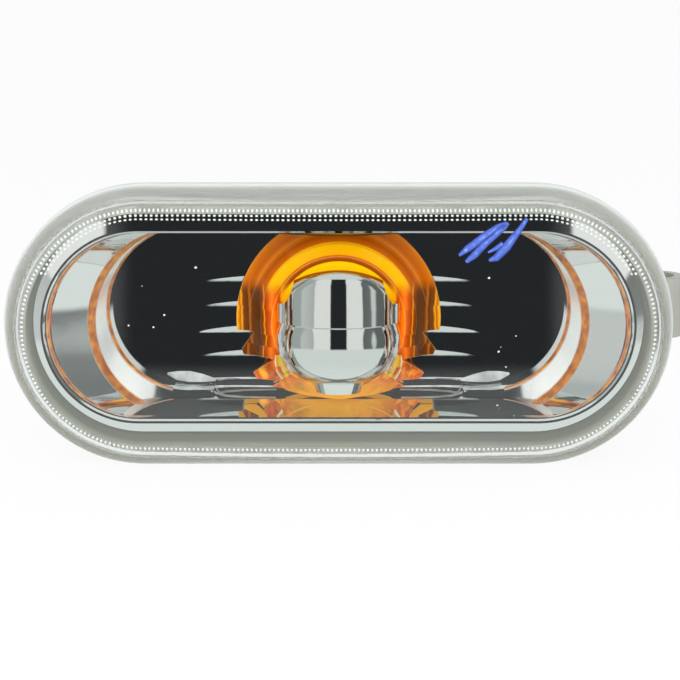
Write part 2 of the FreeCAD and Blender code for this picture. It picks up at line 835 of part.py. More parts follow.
def make_filter():
    """Amber bell in three steps, clipped above and below, with notches at the flutes."""
    bell = body("amber_filter")
    profile = body_sketch(bell, "filter_profile", "XY_Plane")
    floor = reflector_floor
    middle = floor - s.filter_middle_rise
    upper = floor - s.filter_upper_rise
    wall = s.filter_wall
    outline(
        profile,
        [
            (s.filter_radius, floor),
            (s.filter_radius, floor - s.filter_foot),
            (s.filter_middle_radius, middle),
            (s.filter_middle_radius, middle - s.filter_step),
            (s.filter_upper_radius, upper),
            (s.filter_upper_radius, upper - s.filter_step),
            (s.filter_front_radius, filter_front),
            (s.filter_bore_radius, filter_front),
            (s.filter_bore_radius, filter_front + wall),
            (s.filter_front_radius - wall / 2, filter_front + wall),
            (s.filter_radius - wall, floor),
        ],
    )
    revolve(bell, profile, "filter_bell")
    reach = s.filter_radius + s.cut_margin
    depth = s.filter_rise + s.cut_margin * 2
    top = body_sketch(bell, "filter_top", "XZ_Plane", -floor - s.cut_margin)
    box_outline(top, -reach, floor_top - s.filter_edge_gap, reach, reach)
    pocket(bell, top, "filter_top_clip", depth, backwards=True)
    # The lower edge runs level with the reflector's sloped bottom wall
    slope = s.floor_bottom_draft / s.reflector_depth
    edge = floor_bottom + s.filter_edge_gap
    below = body_sketch(bell, "filter_below", "YZ_Plane")
    outline(
        below,
        [
            (floor + s.cut_margin, edge + slope * s.cut_margin),
            (filter_front - s.cut_margin, edge - slope * (s.filter_rise + s.cut_margin)),
            (filter_front - s.cut_margin, -reach),
            (floor + s.cut_margin, -reach),
        ],
    )
    pocket(bell, below, "filter_below_clip", reach * 2, both_sides=True)
    for number, apex in enumerate((s.notch_upper_apex, s.notch_middle_apex, s.notch_lower_apex), start=2):
        line = s.notch_first + s.flute_pitch * (0.5 - number)
        notch = body_sketch(bell, f"filter_notch_outline_{number}", "XZ_Plane", -floor - s.cut_margin)
        for sign in (as_size(-1), as_size(1)):
            corners = [(sign * apex, line), (sign * reach, line), (sign * reach, line - s.notch_drop)]
            outline(notch, corners)
        pocket(bell, notch, f"filter_notch_{number}", depth, backwards=True)
    return bell


def crown_radius(half_width, rise):
    """Radius of an arc that is level at its top and drops by rise at half_width."""
    return (half_width * half_width + rise * rise) / (rise * 2)


def make_shield():
    """Half-barrel shield, turned about an upright axis: a round top, a band, a bowl and a foot."""
    shield = body("bulb_shield")
    wall = s.shield_wall
    foot = s.shield_foot_gap - window_height / 2
    waist_radius = s.shield_radius - s.shield_waist_step
    top_radius = s.shield_radius - s.shield_lean
    past_top = s.shield_top + s.cut_margin
    outside = body_sketch(shield, "shield_profile", "YZ_Plane")
    bind(outside, "AttachmentOffset.Base.x", filter_front)
    outline(
        outside,
        [
            (0, past_top),
            (0, foot),
            (-s.shield_foot_tip, foot),
            (-s.shield_foot_radius, s.shield_bottom),
            (-waist_radius, s.shield_waist),
            (-s.shield_radius, s.shield_waist),
            (-s.shield_radius, s.shield_band),
            (-top_radius, past_top),
        ],
        {3: (s.shield_bowl_round, -1)},
    )
    revolve(shield, outside, "shield_barrel", 180.0)
    inside = body_sketch(shield, "shield_hollow_profile", "YZ_Plane")
    bind(inside, "AttachmentOffset.Base.x", filter_front)
    outline(
        inside,
        [
            (0, s.shield_corner - wall),
            (0, s.shield_bottom + wall * 2),
            (-s.shield_foot_radius, s.shield_bottom + wall * 2),
            (-(waist_radius - wall), s.shield_waist - wall * 2),
            (-(waist_radius - wall), s.shield_band - wall * 1.5),
            (-(s.shield_top_half - wall), s.shield_corner - wall),
        ],
    )
    hollow = shield.newObject("PartDesign::Groove", "shield_hollow")
    hollow.Profile = inside
    hollow.ReferenceAxis = (inside, ["V_Axis"])
    hollow.Angle = 180.0
    hollow.Midplane = True
    reach = s.shield_radius + s.cut_margin
    above = body_sketch(shield, "shield_top_outline", "XZ_Plane", -filter_front)
    steps = [
        (s.shield_top_half, s.shield_corner),
        (s.shield_shoulder_half, s.shield_shoulder),
        (s.shield_step_half, s.shield_step),
        (reach, s.shield_band),
        (reach, past_top + s.cut_margin),
    ]
    corners = [(-x, z) for x, z in steps] + [(x, z) for x, z in reversed(steps)]
    top_round = crown_radius(s.shield_top_half, s.shield_top - s.shield_corner)
    outline(above, corners, {len(corners) - 1: (top_round, 1)})
    top_cut = pocket(shield, above, "shield_top_cut", reach * 2, both_sides=True)
    doc.recompute()
    # The top's front edge is the foremost edge of the round face that the cut leaves
    top_faces = [
        face for face in top_cut.Shape.Faces
        if face.Surface.TypeId == "Part::GeomCylinder" and abs(face.Surface.Axis.y) > abs(face.Surface.Axis.z)
    ]
    front_edge = min((edge for face in top_faces for edge in face.Edges), key=lambda edge: edge.CenterOfMass.y)
    number = next(
        index for index, edge in enumerate(top_cut.Shape.Edges, start=1) if edge.isSame(front_edge)
    )
    rounded = shield.newObject("PartDesign::Fillet", "shield_top_rounding")
    rounded.Base = (top_cut, [f"Edge{number}"])
    bind(rounded, "Radius", s.shield_top_edge)
    return shield


def make_lead(side, sign):
    """Lead wire: up through the glass pinch, and folded back over the wedge's face."""
    x = contact_x * sign
    face = (s.wedge_thickness / 2 + s.lead_radius) * sign
    fold_front = wedge_end - s.lead_fold
    inner = cylinder(f"lead_inner_{side}", s.lead_radius, s.filament_depth, lead_end)
    folded = cylinder(f"lead_folded_{side}", s.lead_radius, fold_front, lead_end)
    bend = doc.addObject("Part::Cylinder", f"lead_bend_{side}")
    bind(bend, "Radius", s.lead_radius)
    bind(bend, "Height", s.wedge_thickness / 2 + s.lead_radius)
    bind(bend, "Placement.Base.y", lead_end)
    if sign < 0:
        bind(bend, "Placement.Base.z", face)
    bind(folded, "Placement.Base.z", face)
    elbows = []
    for number, height in enumerate((as_size(0), face)):
        elbow = doc.addObject("Part::Sphere", f"lead_elbow_{side}_{number}")
        bind(elbow, "Radius", s.lead_radius)
        bind(elbow, "Placement.Base.y", lead_end)
        bind(elbow, "Placement.Base.z", height)
        elbows.append(elbow)
    for feature in (inner, folded, bend, *elbows):
        bind(feature, "Placement.Base.x", x)
    return fuse(f"bulb_lead_{side}", [inner, folded, bend, *elbows])


def make_bulb():
    """Wedge-base bulb: glass, filament and two lead wires."""
    leads = [make_lead("left", -1), make_lead("right", 1)]
    blank = body("bulb_blank")
    profile = body_sketch(blank, "bulb_profile", "XY_Plane")
    radius = s.bulb_radius
    inner = radius - s.bulb_glass_wall
    tip = -s.bulb_tip
    neck = wedge_start - s.bulb_neck
    outline(
        profile,
        [
            (0, tip),
            (radius, tip + radius),
            (radius, neck),
            (s.wedge_thickness, wedge_start),
            (0, wedge_start),
            (0, wedge_start - s.bulb_neck / 2),
            (inner, neck),
            (inner, tip + radius),
            (0, tip + s.bulb_glass_wall),
        ],
        {0: (radius, 1), 7: (inner, -1)},
    )
    revolve(blank, profile, "bulb_envelope")
    wedge = body_sketch(blank, "wedge_outline", "XZ_Plane", -wedge_end)
    half = s.wedge_width / 2
    box_outline(wedge, -half, -s.wedge_thickness / 2, half, s.wedge_thickness / 2)
    pad(blank, wedge, "wedge", s.wedge_length + s.bulb_neck / 4)
    glass = cut("bulb_glass", blank, fuse("lead_holes", leads))
    filament = doc.addObject("Part::Cylinder", "bulb_filament")
    filament.Placement = FreeCAD.Placement(FreeCAD.Vector(), ALONG_X)
    bind(filament, "Radius", s.filament_radius)
    bind(filament, "Height", s.contact_pitch - s.lead_radius * 2)
    bind(filament, "Placement.Base.x", s.lead_radius - contact_x)
    bind(filament, "Placement.Base.y", s.filament_depth + s.filament_radius)
    return [glass, filament, *leads]


def rounded_box(sketch, width, height, radius):
    """A rectangle about the middle with round corners."""
    x = width / 2
    y = height / 2
    outline(
        sketch,
        [
            (radius - x, -y),
            (x - radius, -y),
            (x, radius - y),
            (x, y - radius),
            (x - radius, y),
            (radius - x, y),
            (-x, y - radius),
            (-x, radius - y),
        ],
        {side: (radius, 1) for side in (1, 3, 5, 7)},
    )


def make_holder():
    """Twist-lock holder: neck with lugs, flange, grip wings and plug socket."""
    holder = body("bulb_holder")
    neck = s.port_radius - s.port_gap
    profile = body_sketch(holder, "holder_profile", "XY_Plane")
    outline(
        profile,
        [
            (s.holder_bore_radius, lug_front),
            (neck, lug_front),
            (neck, holder_flange_front),
            (s.holder_flange_radius, holder_flange_front),
            (s.holder_flange_radius, holder_flange_back),
            (0, holder_flange_back),
            (0, wedge_start),
            (s.holder_bore_radius, wedge_start),
        ],
    )
    revolve(holder, profile, "holder_neck")
    tail = body_sketch(holder, "socket_outline", "XZ_Plane", -holder_flange_back)
    rounded_box(tail, s.socket_width, s.socket_height, s.socket_round)
    pad(holder, tail, "socket_box", socket_mouth - holder_flange_back, backwards=True)
    wings = body_sketch(holder, "wing_outline", "XZ_Plane", -holder_flange_back)
    half_wing = s.wing_thickness / 2
    box_outline(wings, -s.wing_reach, -half_wing, s.wing_reach, half_wing)
    pad(holder, wings, "wings", s.wing_length, backwards=True)
    top = s.socket_height / 2
    latch_back = socket_mouth - s.socket_floor
    latch = body_sketch(holder, "latch_outline", "YZ_Plane")
    outline(
        latch,
        [
            (latch_back, top - s.socket_wall / 2),
            (latch_back, top),
            (latch_back - s.latch_length, top + s.latch_height),
            (latch_back - s.latch_length, top - s.socket_wall / 2),
        ],
    )
    pad(holder, latch, "latch", s.latch_width, both_sides=True)
    half_lug = s.lug_angle / 2
    root_radius = neck - s.lug_gap
    lug = body_sketch(holder, "lug_outline", "XZ_Plane", -lug_back)
    side_in = root_radius * sine(half_lug)
    side_out = s.lug_radius * sine(half_lug)
    outline(
        lug,
        [
            (side_in, root_radius * cosine(half_lug)),
            (side_out, s.lug_radius * cosine(half_lug)),
            (-side_out, s.lug_radius * cosine(half_lug)),
            (-side_in, root_radius * cosine(half_lug)),
        ],
        {1: (s.lug_radius, 1)},
    )
    polar(holder, pad(holder, lug, "lug", s.lug_thickness), "lugs", s.lug_count)
    slot = body_sketch(holder, "wedge_slot_outline", "XZ_Plane", -contact_bend)
    half_slot = s.wedge_thickness / 2 + s.wedge_gap
    half_width = s.wedge_width / 2 + s.wedge_gap
    box_outline(slot, -half_width, -half_slot, half_width, half_slot)
    pocket(holder, slot, "wedge_slot", contact_bend - wedge_start, backwards=True)
    pocket_back = contact_bend + s.contact_thickness + s.contact_gap
    half_contact = s.contact_width / 2 + s.contact_gap
    half_blade = s.blade_thickness / 2 + s.contact_gap
    springs = body_sketch(holder, "spring_outline", "XZ_Plane", -pocket_back)
    slits = body_sketch(holder, "slit_outline", "XZ_Plane", -socket_base)
    for sign in (1, -1):
        middle = contact_x * sign
        inner_end = (contact_high + s.contact_flare + s.contact_gap) * sign
        box_outline(springs, middle - half_contact, -half_blade * sign, middle + half_contact, inner_end)
        box_outline(slits, middle - half_contact, -half_blade, middle + half_contact, half_blade)
    pocket(holder, springs, "springs", pocket_back - wedge_start, backwards=True)
    pocket(holder, slits, "slits", socket_base - pocket_back, backwards=True)
    cavity = body_sketch(holder, "cavity_outline", "XZ_Plane", -socket_mouth)
    wall = s.socket_wall * 2
    inner_round = s.socket_round - s.socket_wall
    rounded_box(cavity, s.socket_width - wall, s.socket_height - wall, inner_round)
    pocket(holder, cavity, "socket_cavity", s.socket_depth, backwards=True)
    return holder


def make_seal():
    """Rubber ring between the housing's collar and the holder's flange."""
    seal = doc.addObject("Part::Torus", "holder_seal")
    seal.Placement = FreeCAD.Placement(FreeCAD.Vector(), ALONG_Y)
    bind(seal, "Radius1", (s.collar_inner_radius + s.collar_outer_radius) / 2)
    bind(seal, "Radius2", s.seal_thickness / 2)
    bind(seal, "Placement.Base.y", collar_back + s.seal_gap + s.seal_thickness / 2)
    return seal


def make_contact(side, sign):
    """Strip that springs on a lead wire at the front and ends in a blade in the socket."""
    contact = body(f"contact_{side}")
    strip = body_sketch(contact, f"strip_{side}", "YZ_Plane", contact_x * sign)
    tip = wedge_end - s.lead_fold - s.contact_flare
    flat = tip + s.contact_ramp
    bend_back = contact_bend + s.contact_thickness
    blade_end = socket_base + s.blade_length
    half_blade = s.blade_thickness / 2
    corners = [
        (tip, contact_low + s.contact_flare),
        (flat, contact_low),
        (contact_bend, contact_low),
        (contact_bend, -half_blade),
        (blade_end, -half_blade),
        (blade_end, half_blade),
        (bend_back, half_blade),
        (bend_back, contact_high),
        (flat, contact_high),
        (tip, contact_high + s.contact_flare),
    ]
    outline(strip, [(y, z * sign) for y, z in corners])
    pad(contact, strip, f"blank_{side}", s.contact_width, both_sides=True)
    return contact


doc.recompute()
lens = make_lens()
gasket = make_gasket()
reflector, opening_length, opening_height = make_reflector()
housing = make_housing(opening_length, opening_height)
amber_filter = make_filter()
shield = make_shield()
bulb = make_bulb()
holder = make_holder()
seal = make_seal()
contacts = [make_contact("left", -1), make_contact("right", 1)]
doc.recompute()

PIECES = [lens, gasket, reflector, housing, amber_filter, shield, holder, seal, *bulb, *contacts]
for thing in doc.Objects:
    if "Invalid" in thing.State or "Error" in thing.State:
        raise RuntimeError(f"{thing.Label} did not compute: {thing.State}")
for piece in PIECES:
    if piece.Shape.isNull() or not piece.Shape.isValid():
        raise RuntimeError(f"{piece.Label} has no valid shape")

os.makedirs("parts", exist_ok=True)
for piece in PIECES:
    piece.Shape.exportStep(f"parts/{piece.Label}.step")
    print(piece.Label, len(piece.Shape.Solids), round(piece.Shape.Volume, 2), piece.Shape.BoundBox)
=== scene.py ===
import math

import bpy
from mathutils import Matrix, Vector
from mathutils.bvhtree import BVHTree


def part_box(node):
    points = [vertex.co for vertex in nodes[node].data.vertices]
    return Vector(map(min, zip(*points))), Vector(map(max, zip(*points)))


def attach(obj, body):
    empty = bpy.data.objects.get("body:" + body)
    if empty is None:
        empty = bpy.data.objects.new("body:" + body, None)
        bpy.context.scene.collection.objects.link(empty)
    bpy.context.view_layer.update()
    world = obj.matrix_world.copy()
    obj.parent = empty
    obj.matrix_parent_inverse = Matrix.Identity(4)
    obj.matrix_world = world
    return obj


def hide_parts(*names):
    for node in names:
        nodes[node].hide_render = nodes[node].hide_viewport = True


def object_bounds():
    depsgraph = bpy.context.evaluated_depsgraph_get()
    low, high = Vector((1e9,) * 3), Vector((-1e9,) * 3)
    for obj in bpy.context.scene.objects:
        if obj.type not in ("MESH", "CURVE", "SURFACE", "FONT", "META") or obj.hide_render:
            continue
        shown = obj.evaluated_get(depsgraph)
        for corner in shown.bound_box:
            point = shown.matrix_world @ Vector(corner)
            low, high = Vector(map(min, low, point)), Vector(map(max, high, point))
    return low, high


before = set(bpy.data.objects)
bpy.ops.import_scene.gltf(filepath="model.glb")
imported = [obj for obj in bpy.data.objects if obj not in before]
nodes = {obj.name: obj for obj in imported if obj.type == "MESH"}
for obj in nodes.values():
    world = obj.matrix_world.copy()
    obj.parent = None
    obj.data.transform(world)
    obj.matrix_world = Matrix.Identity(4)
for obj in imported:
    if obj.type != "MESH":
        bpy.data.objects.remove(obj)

# Oval side indicator lamp, in metres, lens facing -Y and +Z up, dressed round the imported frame.

MM = 0.001
cad_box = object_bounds()
lens_low, lens_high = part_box("lens")
scene = bpy.context.scene
scene.view_settings.view_transform = "Standard"
scene.cycles.use_denoising = True

# The photograph's frame: its side, the lens's length in it, and where the lamp's middle is, in pixels
PHOTO_SIDE = 680
LENS_PIXELS = 669
LAMP_MIDDLE = (338.5, 324.5)
CAMERA_RISE = math.radians(8.3)
CAMERA_DISTANCE = 430 * MM
OUTLINE_PLANE = -3.0 * MM
PIXEL = (lens_high.x - lens_low.x) / LENS_PIXELS


def to_linear(hex_colour):
    """Turns an sRGB hex colour into linear RGBA."""
    values = [int(hex_colour[i:i + 2], 16) / 255 for i in (1, 3, 5)]
    return [v / 12.92 if v <= 0.04045 else ((v + 0.055) / 1.055) ** 2.4 for v in values] + [1.0]


def add(tree, kind, settings=None, inputs=None, stops=None):
    """Adds a node, with its settings, its filled or linked inputs and any colour stops."""
    node = tree.nodes.new(kind)
    for name, value in (settings or {}).items():
        setattr(node, name, value)
    for name, value in (inputs or {}).items():
        if isinstance(value, bpy.types.NodeSocket):
            tree.links.new(value, node.inputs[name])
        else:
            node.inputs[name].default_value = value
    if stops:
        elements = node.color_ramp.elements
        while len(elements) < len(stops):
            elements.new(1.0)
        for element, (place, colour) in zip(elements, stops):
            element.position = place
            element.color = to_linear(colour)
    return node


def new_material(name):
    material = bpy.data.materials.new(name)
    material.use_nodes = True
    material.node_tree.nodes.clear()
    return material, material.node_tree


def show(tree, surface):
    add(tree, "ShaderNodeOutputMaterial", inputs={"Surface": surface.outputs[0]})


def dress(node_name, material):
    """Gives a CAD node its finish."""
    mesh = nodes[node_name].data
    mesh.materials.clear()
    mesh.materials.append(material)


# Camera


def place_camera():
    """Looks at the lamp as the photograph does, and returns the axes of its picture."""
    back = Vector((0, -math.cos(CAMERA_RISE), math.sin(CAMERA_RISE)))
    right = Vector((1, 0, 0))
    up = back.cross(right)
    lamp_middle = Vector((0, OUTLINE_PLANE, 0))
    across = PHOTO_SIDE / 2 - LAMP_MIDDLE[0]
    above = LAMP_MIDDLE[1] - PHOTO_SIDE / 2
    aim = lamp_middle + right * across * PIXEL + up * above * PIXEL
    data = bpy.data.cameras.new("camera")
    data.lens = data.sensor_width * CAMERA_DISTANCE / (PHOTO_SIDE * PIXEL)
    data.clip_start = 10 * MM
    data.clip_end = 20
    camera = bpy.data.objects.new("camera", data)
    camera.location = aim + back * CAMERA_DISTANCE
    camera.rotation_euler = Matrix((right, up, back)).transposed().to_euler()
    scene.collection.objects.link(camera)
    scene.camera = camera
    return camera.location.copy(), aim, right, up


eye, aim, picture_right, picture_up = place_camera()


def pixel_ray(x, y):
    """Direction from the camera through one pixel of the photograph."""
    middle = PHOTO_SIDE / 2
    point = aim + picture_right * (x - middle) * PIXEL + picture_up * (middle - y) * PIXEL
    return (point - eye).normalized()


# Materials


# The lens's oval: half the length of its straight core
LENS_CORE = lens_high.x - lens_high.z
# Colour ramps run from 0 to 1, so lengths are set against this span before they reach one
SPAN = 50 * MM


def from_core(tree, place):
    """Distance from the straight core of the lens's oval, seen from the front."""
    axes = add(tree, "ShaderNodeSeparateXYZ", inputs={"Vector": place})
    side = add(tree, "ShaderNodeMath", {"operation": "ABSOLUTE"}, {0: axes.outputs["X"]})
    past = add(tree, "ShaderNodeMath", {"operation": "SUBTRACT"}, {0: side.outputs[0], 1: LENS_CORE})
    reach = add(tree, "ShaderNodeMath", {"operation": "MAXIMUM"}, {0: past.outputs[0], 1: 0.0})
    flat = add(tree, "ShaderNodeCombineXYZ", inputs={"X": reach.outputs[0], "Z": axes.outputs["Z"]})
    length = add(tree, "ShaderNodeVectorMath", {"operation": "LENGTH"}, {0: flat.outputs["Vector"]})
    share = add(tree, "ShaderNodeMath", {"operation": "DIVIDE"}, {0: length.outputs["Value"], 1: SPAN})
    return share.outputs[0]


def inset_stops(*stops):
    """Ramp stops given in millimetres inside the lens's outline."""
    return [((lens_high.z - inset * MM) / SPAN, colour) for inset, colour in stops]


def clear_pmma():
    """Moulded clear PMMA: water-clear and slowly wavy, hazy at its unpolished rim, with a painted highlight of
    white diffuse on its outermost edge.
    """
    material, tree = new_material("moulded_clear_pmma")
    place = add(tree, "ShaderNodeTexCoord").outputs["Object"]
    waves = add(tree, "ShaderNodeTexNoise", inputs={"Vector": place, "Scale": 1 / (16 * MM), "Detail": 1.0})
    bump = add(
        tree,
        "ShaderNodeBump",
        inputs={"Height": waves.outputs["Fac"], "Strength": 0.06, "Distance": 0.1 * MM},
    )
    haze = add(
        tree,
        "ShaderNodeValToRGB",
        inputs={"Fac": from_core(tree, place)},
        stops=inset_stops((2.2, "#282828"), (1.7, "#949494")),
    )
    # Painted highlight: white diffuse mixed into the lens's outermost edge
    lens_edge_highlight = add(
        tree,
        "ShaderNodeValToRGB",
        inputs={"Fac": from_core(tree, place)},
        stops=inset_stops((0.55, "#000000"), (0.25, "#A0A0A0")),
    )
    surface = add(
        tree,
        "ShaderNodeBsdfPrincipled",
        inputs={
            "Base Color": to_linear("#FCFDFC"),
            "Roughness": haze.outputs["Color"],
            "IOR": 1.49,
            "Transmission Weight": 1.0,
            "Normal": bump.outputs["Normal"],
        },
    )
    painted_edge_white = add(tree, "ShaderNodeBsdfDiffuse", inputs={"Color": to_linear("#EEF4F4")})
    with_edge_highlight = add(
        tree,
        "ShaderNodeMixShader",
        inputs={0: lens_edge_highlight.outputs["Color"], 1: surface.outputs[0], 2: painted_edge_white.outputs[0]},
    )
    path = add(tree, "ShaderNodeLightPath")
    lit_through = add(
        tree,
        "ShaderNodeMath",
        {"operation": "MAXIMUM"},
        {0: path.outputs["Is Shadow Ray"], 1: path.outputs["Is Diffuse Ray"]},
    )
    # What the mirrors behind see comes through unbent, but a ray that is still inside the lens bends
    bounced = add(
        tree,
        "ShaderNodeMath",
        {"operation": "SUBTRACT"},
        {0: path.outputs["Is Glossy Ray"], 1: path.outputs["Is Transmission Ray"]},
    )
    inside = add(
        tree,
        "ShaderNodeMath",
        {"operation": "COMPARE"},
        {0: path.outputs["Transmission Depth"], 1: 1.0, 2: 0.5},
    )
    mirrored_ray = add(
        tree,
        "ShaderNodeMath",
        {"operation": "SUBTRACT", "use_clamp": True},
        {0: bounced.outputs[0], 1: inside.outputs[0]},
    )
    unbent = add(
        tree,
        "ShaderNodeMath",
        {"operation": "MAXIMUM"},
        {0: lit_through.outputs[0], 1: mirrored_ray.outputs[0]},
    )
    gap = add(tree, "ShaderNodeBsdfTransparent", inputs={"Color": to_linear("#FAFBFA")})
    mix = add(
        tree,
        "ShaderNodeMixShader",
        inputs={0: unbent.outputs[0], 1: with_edge_highlight.outputs[0], 2: gap.outputs[0]},
    )
    show(tree, mix)
    return material


def metallised(name, colour, roughness, wave):
    """Vacuum-metallised ABS: a mirror of aluminium whose moulded base leaves a slow ripple."""
    material, tree = new_material(name)
    place = add(tree, "ShaderNodeTexCoord").outputs["Object"]
    ripple = add(tree, "ShaderNodeTexNoise", inputs={"Vector": place, "Scale": 1 / (6 * MM), "Detail": 2.0})
    bump = add(
        tree,
        "ShaderNodeBump",
        inputs={"Height": ripple.outputs["Fac"], "Strength": wave, "Distance": 0.05 * MM},
    )
    surface = add(
        tree,
        "ShaderNodeBsdfPrincipled",
        inputs={
            "Base Color": to_linear(colour),
            "Metallic": 1.0,
            "Roughness": roughness,
            "Normal": bump.outputs["Normal"],
        },
    )
    show(tree, surface)
    return material


# Risers of the reflector's stepped ends, painted with the filter's amber reflection, in metres from the lamp's
# middle: where the middle of each riser's arc is along X and Z, the arc's inner and outer radius, and the
# riser's front and back along Y
RISERS = (
    (26.2 * MM, 0.0, 11.6 * MM, 12.05 * MM, -4.25 * MM, -3.4 * MM),
    (20.1 * MM, 0.0, 12.05 * MM, 12.95 * MM, -0.5 * MM, 0.8 * MM),
    (19.6 * MM, 1.5 * MM, 10.75 * MM, 11.15 * MM, 1.85 * MM, 2.4 * MM),
)
RISERS_FROM = 22.0 * MM
# Front and back of the inner crescents, whose metal came out satin, and where along X that sets in
SATIN = (0.75 * MM, 1.95 * MM)
SATIN_FROM, SATIN_FULL = 23 * MM, 28 * MM


def band(low, high):
    """Ramp stops that are white between two lengths, with soft ends."""
    soft = 0.06 * MM
    stops = [(low - soft, "#000000"), (low, "#FFFFFF"), (high, "#FFFFFF"), (high + soft, "#000000")]
    return [(length / SPAN, colour) for length, colour in stops]


def stepped_reflector():
    """Vacuum-metallised ABS: a mirror with a slow ripple, whose risers carry a painted reflection of the filter
    in dull amber.
    """
    material, tree = new_material("metallised_reflector_abs")
    place = add(tree, "ShaderNodeTexCoord").outputs["Object"]
    ripple = add(tree, "ShaderNodeTexNoise", inputs={"Vector": place, "Scale": 1 / (6 * MM), "Detail": 2.0})
    bump = add(
        tree,
        "ShaderNodeBump",
        inputs={"Height": ripple.outputs["Fac"], "Strength": 0.05, "Distance": 0.05 * MM},
    )
    scaled = add(tree, "ShaderNodeVectorMath", {"operation": "SCALE"}, {0: place, "Scale": 1 / SPAN})
    axes = add(tree, "ShaderNodeSeparateXYZ", inputs={"Vector": scaled.outputs["Vector"]})
    depth = add(tree, "ShaderNodeMath", {"operation": "ADD"}, {0: axes.outputs["Y"], 1: 0.5})
    side = add(tree, "ShaderNodeMath", {"operation": "ABSOLUTE"}, {0: axes.outputs["X"]})
    folded = add(tree, "ShaderNodeCombineXYZ", inputs={"X": side.outputs[0], "Z": axes.outputs["Z"]})
    at_ends = add(
        tree,
        "ShaderNodeMath",
        {"operation": "GREATER_THAN"},
        {0: side.outputs[0], 1: RISERS_FROM / SPAN},
    )
    # Painted reflection: the risers are painted dull amber where they would mirror the filter
    glow = None
    for along, lift, inner, outer, front, back in RISERS:
        reach = add(
            tree,
            "ShaderNodeVectorMath",
            {"operation": "DISTANCE"},
            {0: folded.outputs["Vector"], 1: (along / SPAN, 0.0, lift / SPAN)},
        )
        ring = add(tree, "ShaderNodeValToRGB", inputs={"Fac": reach.outputs["Value"]}, stops=band(inner, outer))
        level = add(
            tree,
            "ShaderNodeValToRGB",
            inputs={"Fac": depth.outputs[0]},
            stops=band(front + SPAN / 2, back + SPAN / 2),
        )
        riser = add(
            tree,
            "ShaderNodeMath",
            {"operation": "MULTIPLY"},
            {0: ring.outputs["Color"], 1: level.outputs["Color"]},
        ).outputs[0]
        if glow is not None:
            riser = add(tree, "ShaderNodeMath", {"operation": "MAXIMUM"}, {0: glow, 1: riser}).outputs[0]
        glow = riser
    glow = add(tree, "ShaderNodeMath", {"operation": "MULTIPLY"}, {0: glow, 1: at_ends.outputs[0]}).outputs[0]
    streaks = add(tree, "ShaderNodeTexNoise", inputs={"Vector": place, "Scale": 1 / (1.2 * MM), "Detail": 3.0})
    amber = add(
        tree,
        "ShaderNodeValToRGB",
        inputs={"Fac": streaks.outputs["Fac"]},
        stops=[(0.3, "#904808"), (0.5, "#C47414"), (0.7, "#E09830")],
    )
    colour = add(
        tree,
        "ShaderNodeMix",
        {"data_type": "RGBA"},
        {"Factor": glow, "A": to_linear("#E6E8E7"), "B": amber.outputs["Color"]},
    )
    inner = add(
        tree,
        "ShaderNodeValToRGB",
        inputs={"Fac": depth.outputs[0]},
        stops=band(*(limit + SPAN / 2 for limit in SATIN)),
    )
    ends = add(
        tree,
        "ShaderNodeMapRange",
        {"interpolation_type": "SMOOTHSTEP"},
        {
            "Value": side.outputs[0],
            "From Min": SATIN_FROM / SPAN,
            "From Max": SATIN_FULL / SPAN,
            "To Max": 0.6,
        },
    )
    satin = add(
        tree,
        "ShaderNodeMath",
        {"operation": "MULTIPLY"},
        {0: inner.outputs["Color"], 1: ends.outputs["Result"]},
    )
    dull = add(tree, "ShaderNodeMath", {"operation": "MAXIMUM"}, {0: glow, 1: satin.outputs[0]})
    metal = add(tree, "ShaderNodeMapRange", inputs={"Value": dull.outputs[0], "To Min": 1.0, "To Max": 0.25})
    roughness = add(
        tree,
        "ShaderNodeMapRange",
        inputs={"Value": dull.outputs[0], "To Min": 0.03, "To Max": 0.33},
    )
    surface = add(
        tree,
        "ShaderNodeBsdfPrincipled",
        inputs={
            "Base Color": colour.outputs[2],
            "Metallic": metal.outputs["Result"],
            "Roughness": roughness.outputs["Result"],
            "Normal": bump.outputs["Normal"],
        },
    )
    show(tree, surface)
    return material


# The filter's painted light and shade bands: the reach from the lamp's middle over which they are spread, the
# height of one flute, and the heights where the rings above and the plain foot below take over from the bands
# at the sides
BANDS_FROM, BANDS_TO = 6 * MM, 14 * MM
FLUTE_HEIGHT = 1.65 * MM
RINGS_FROM, RINGS_FULL = 3.4 * MM, 5.6 * MM
FOOT_FROM, FOOT_FULL = -5.6 * MM, -7.2 * MM


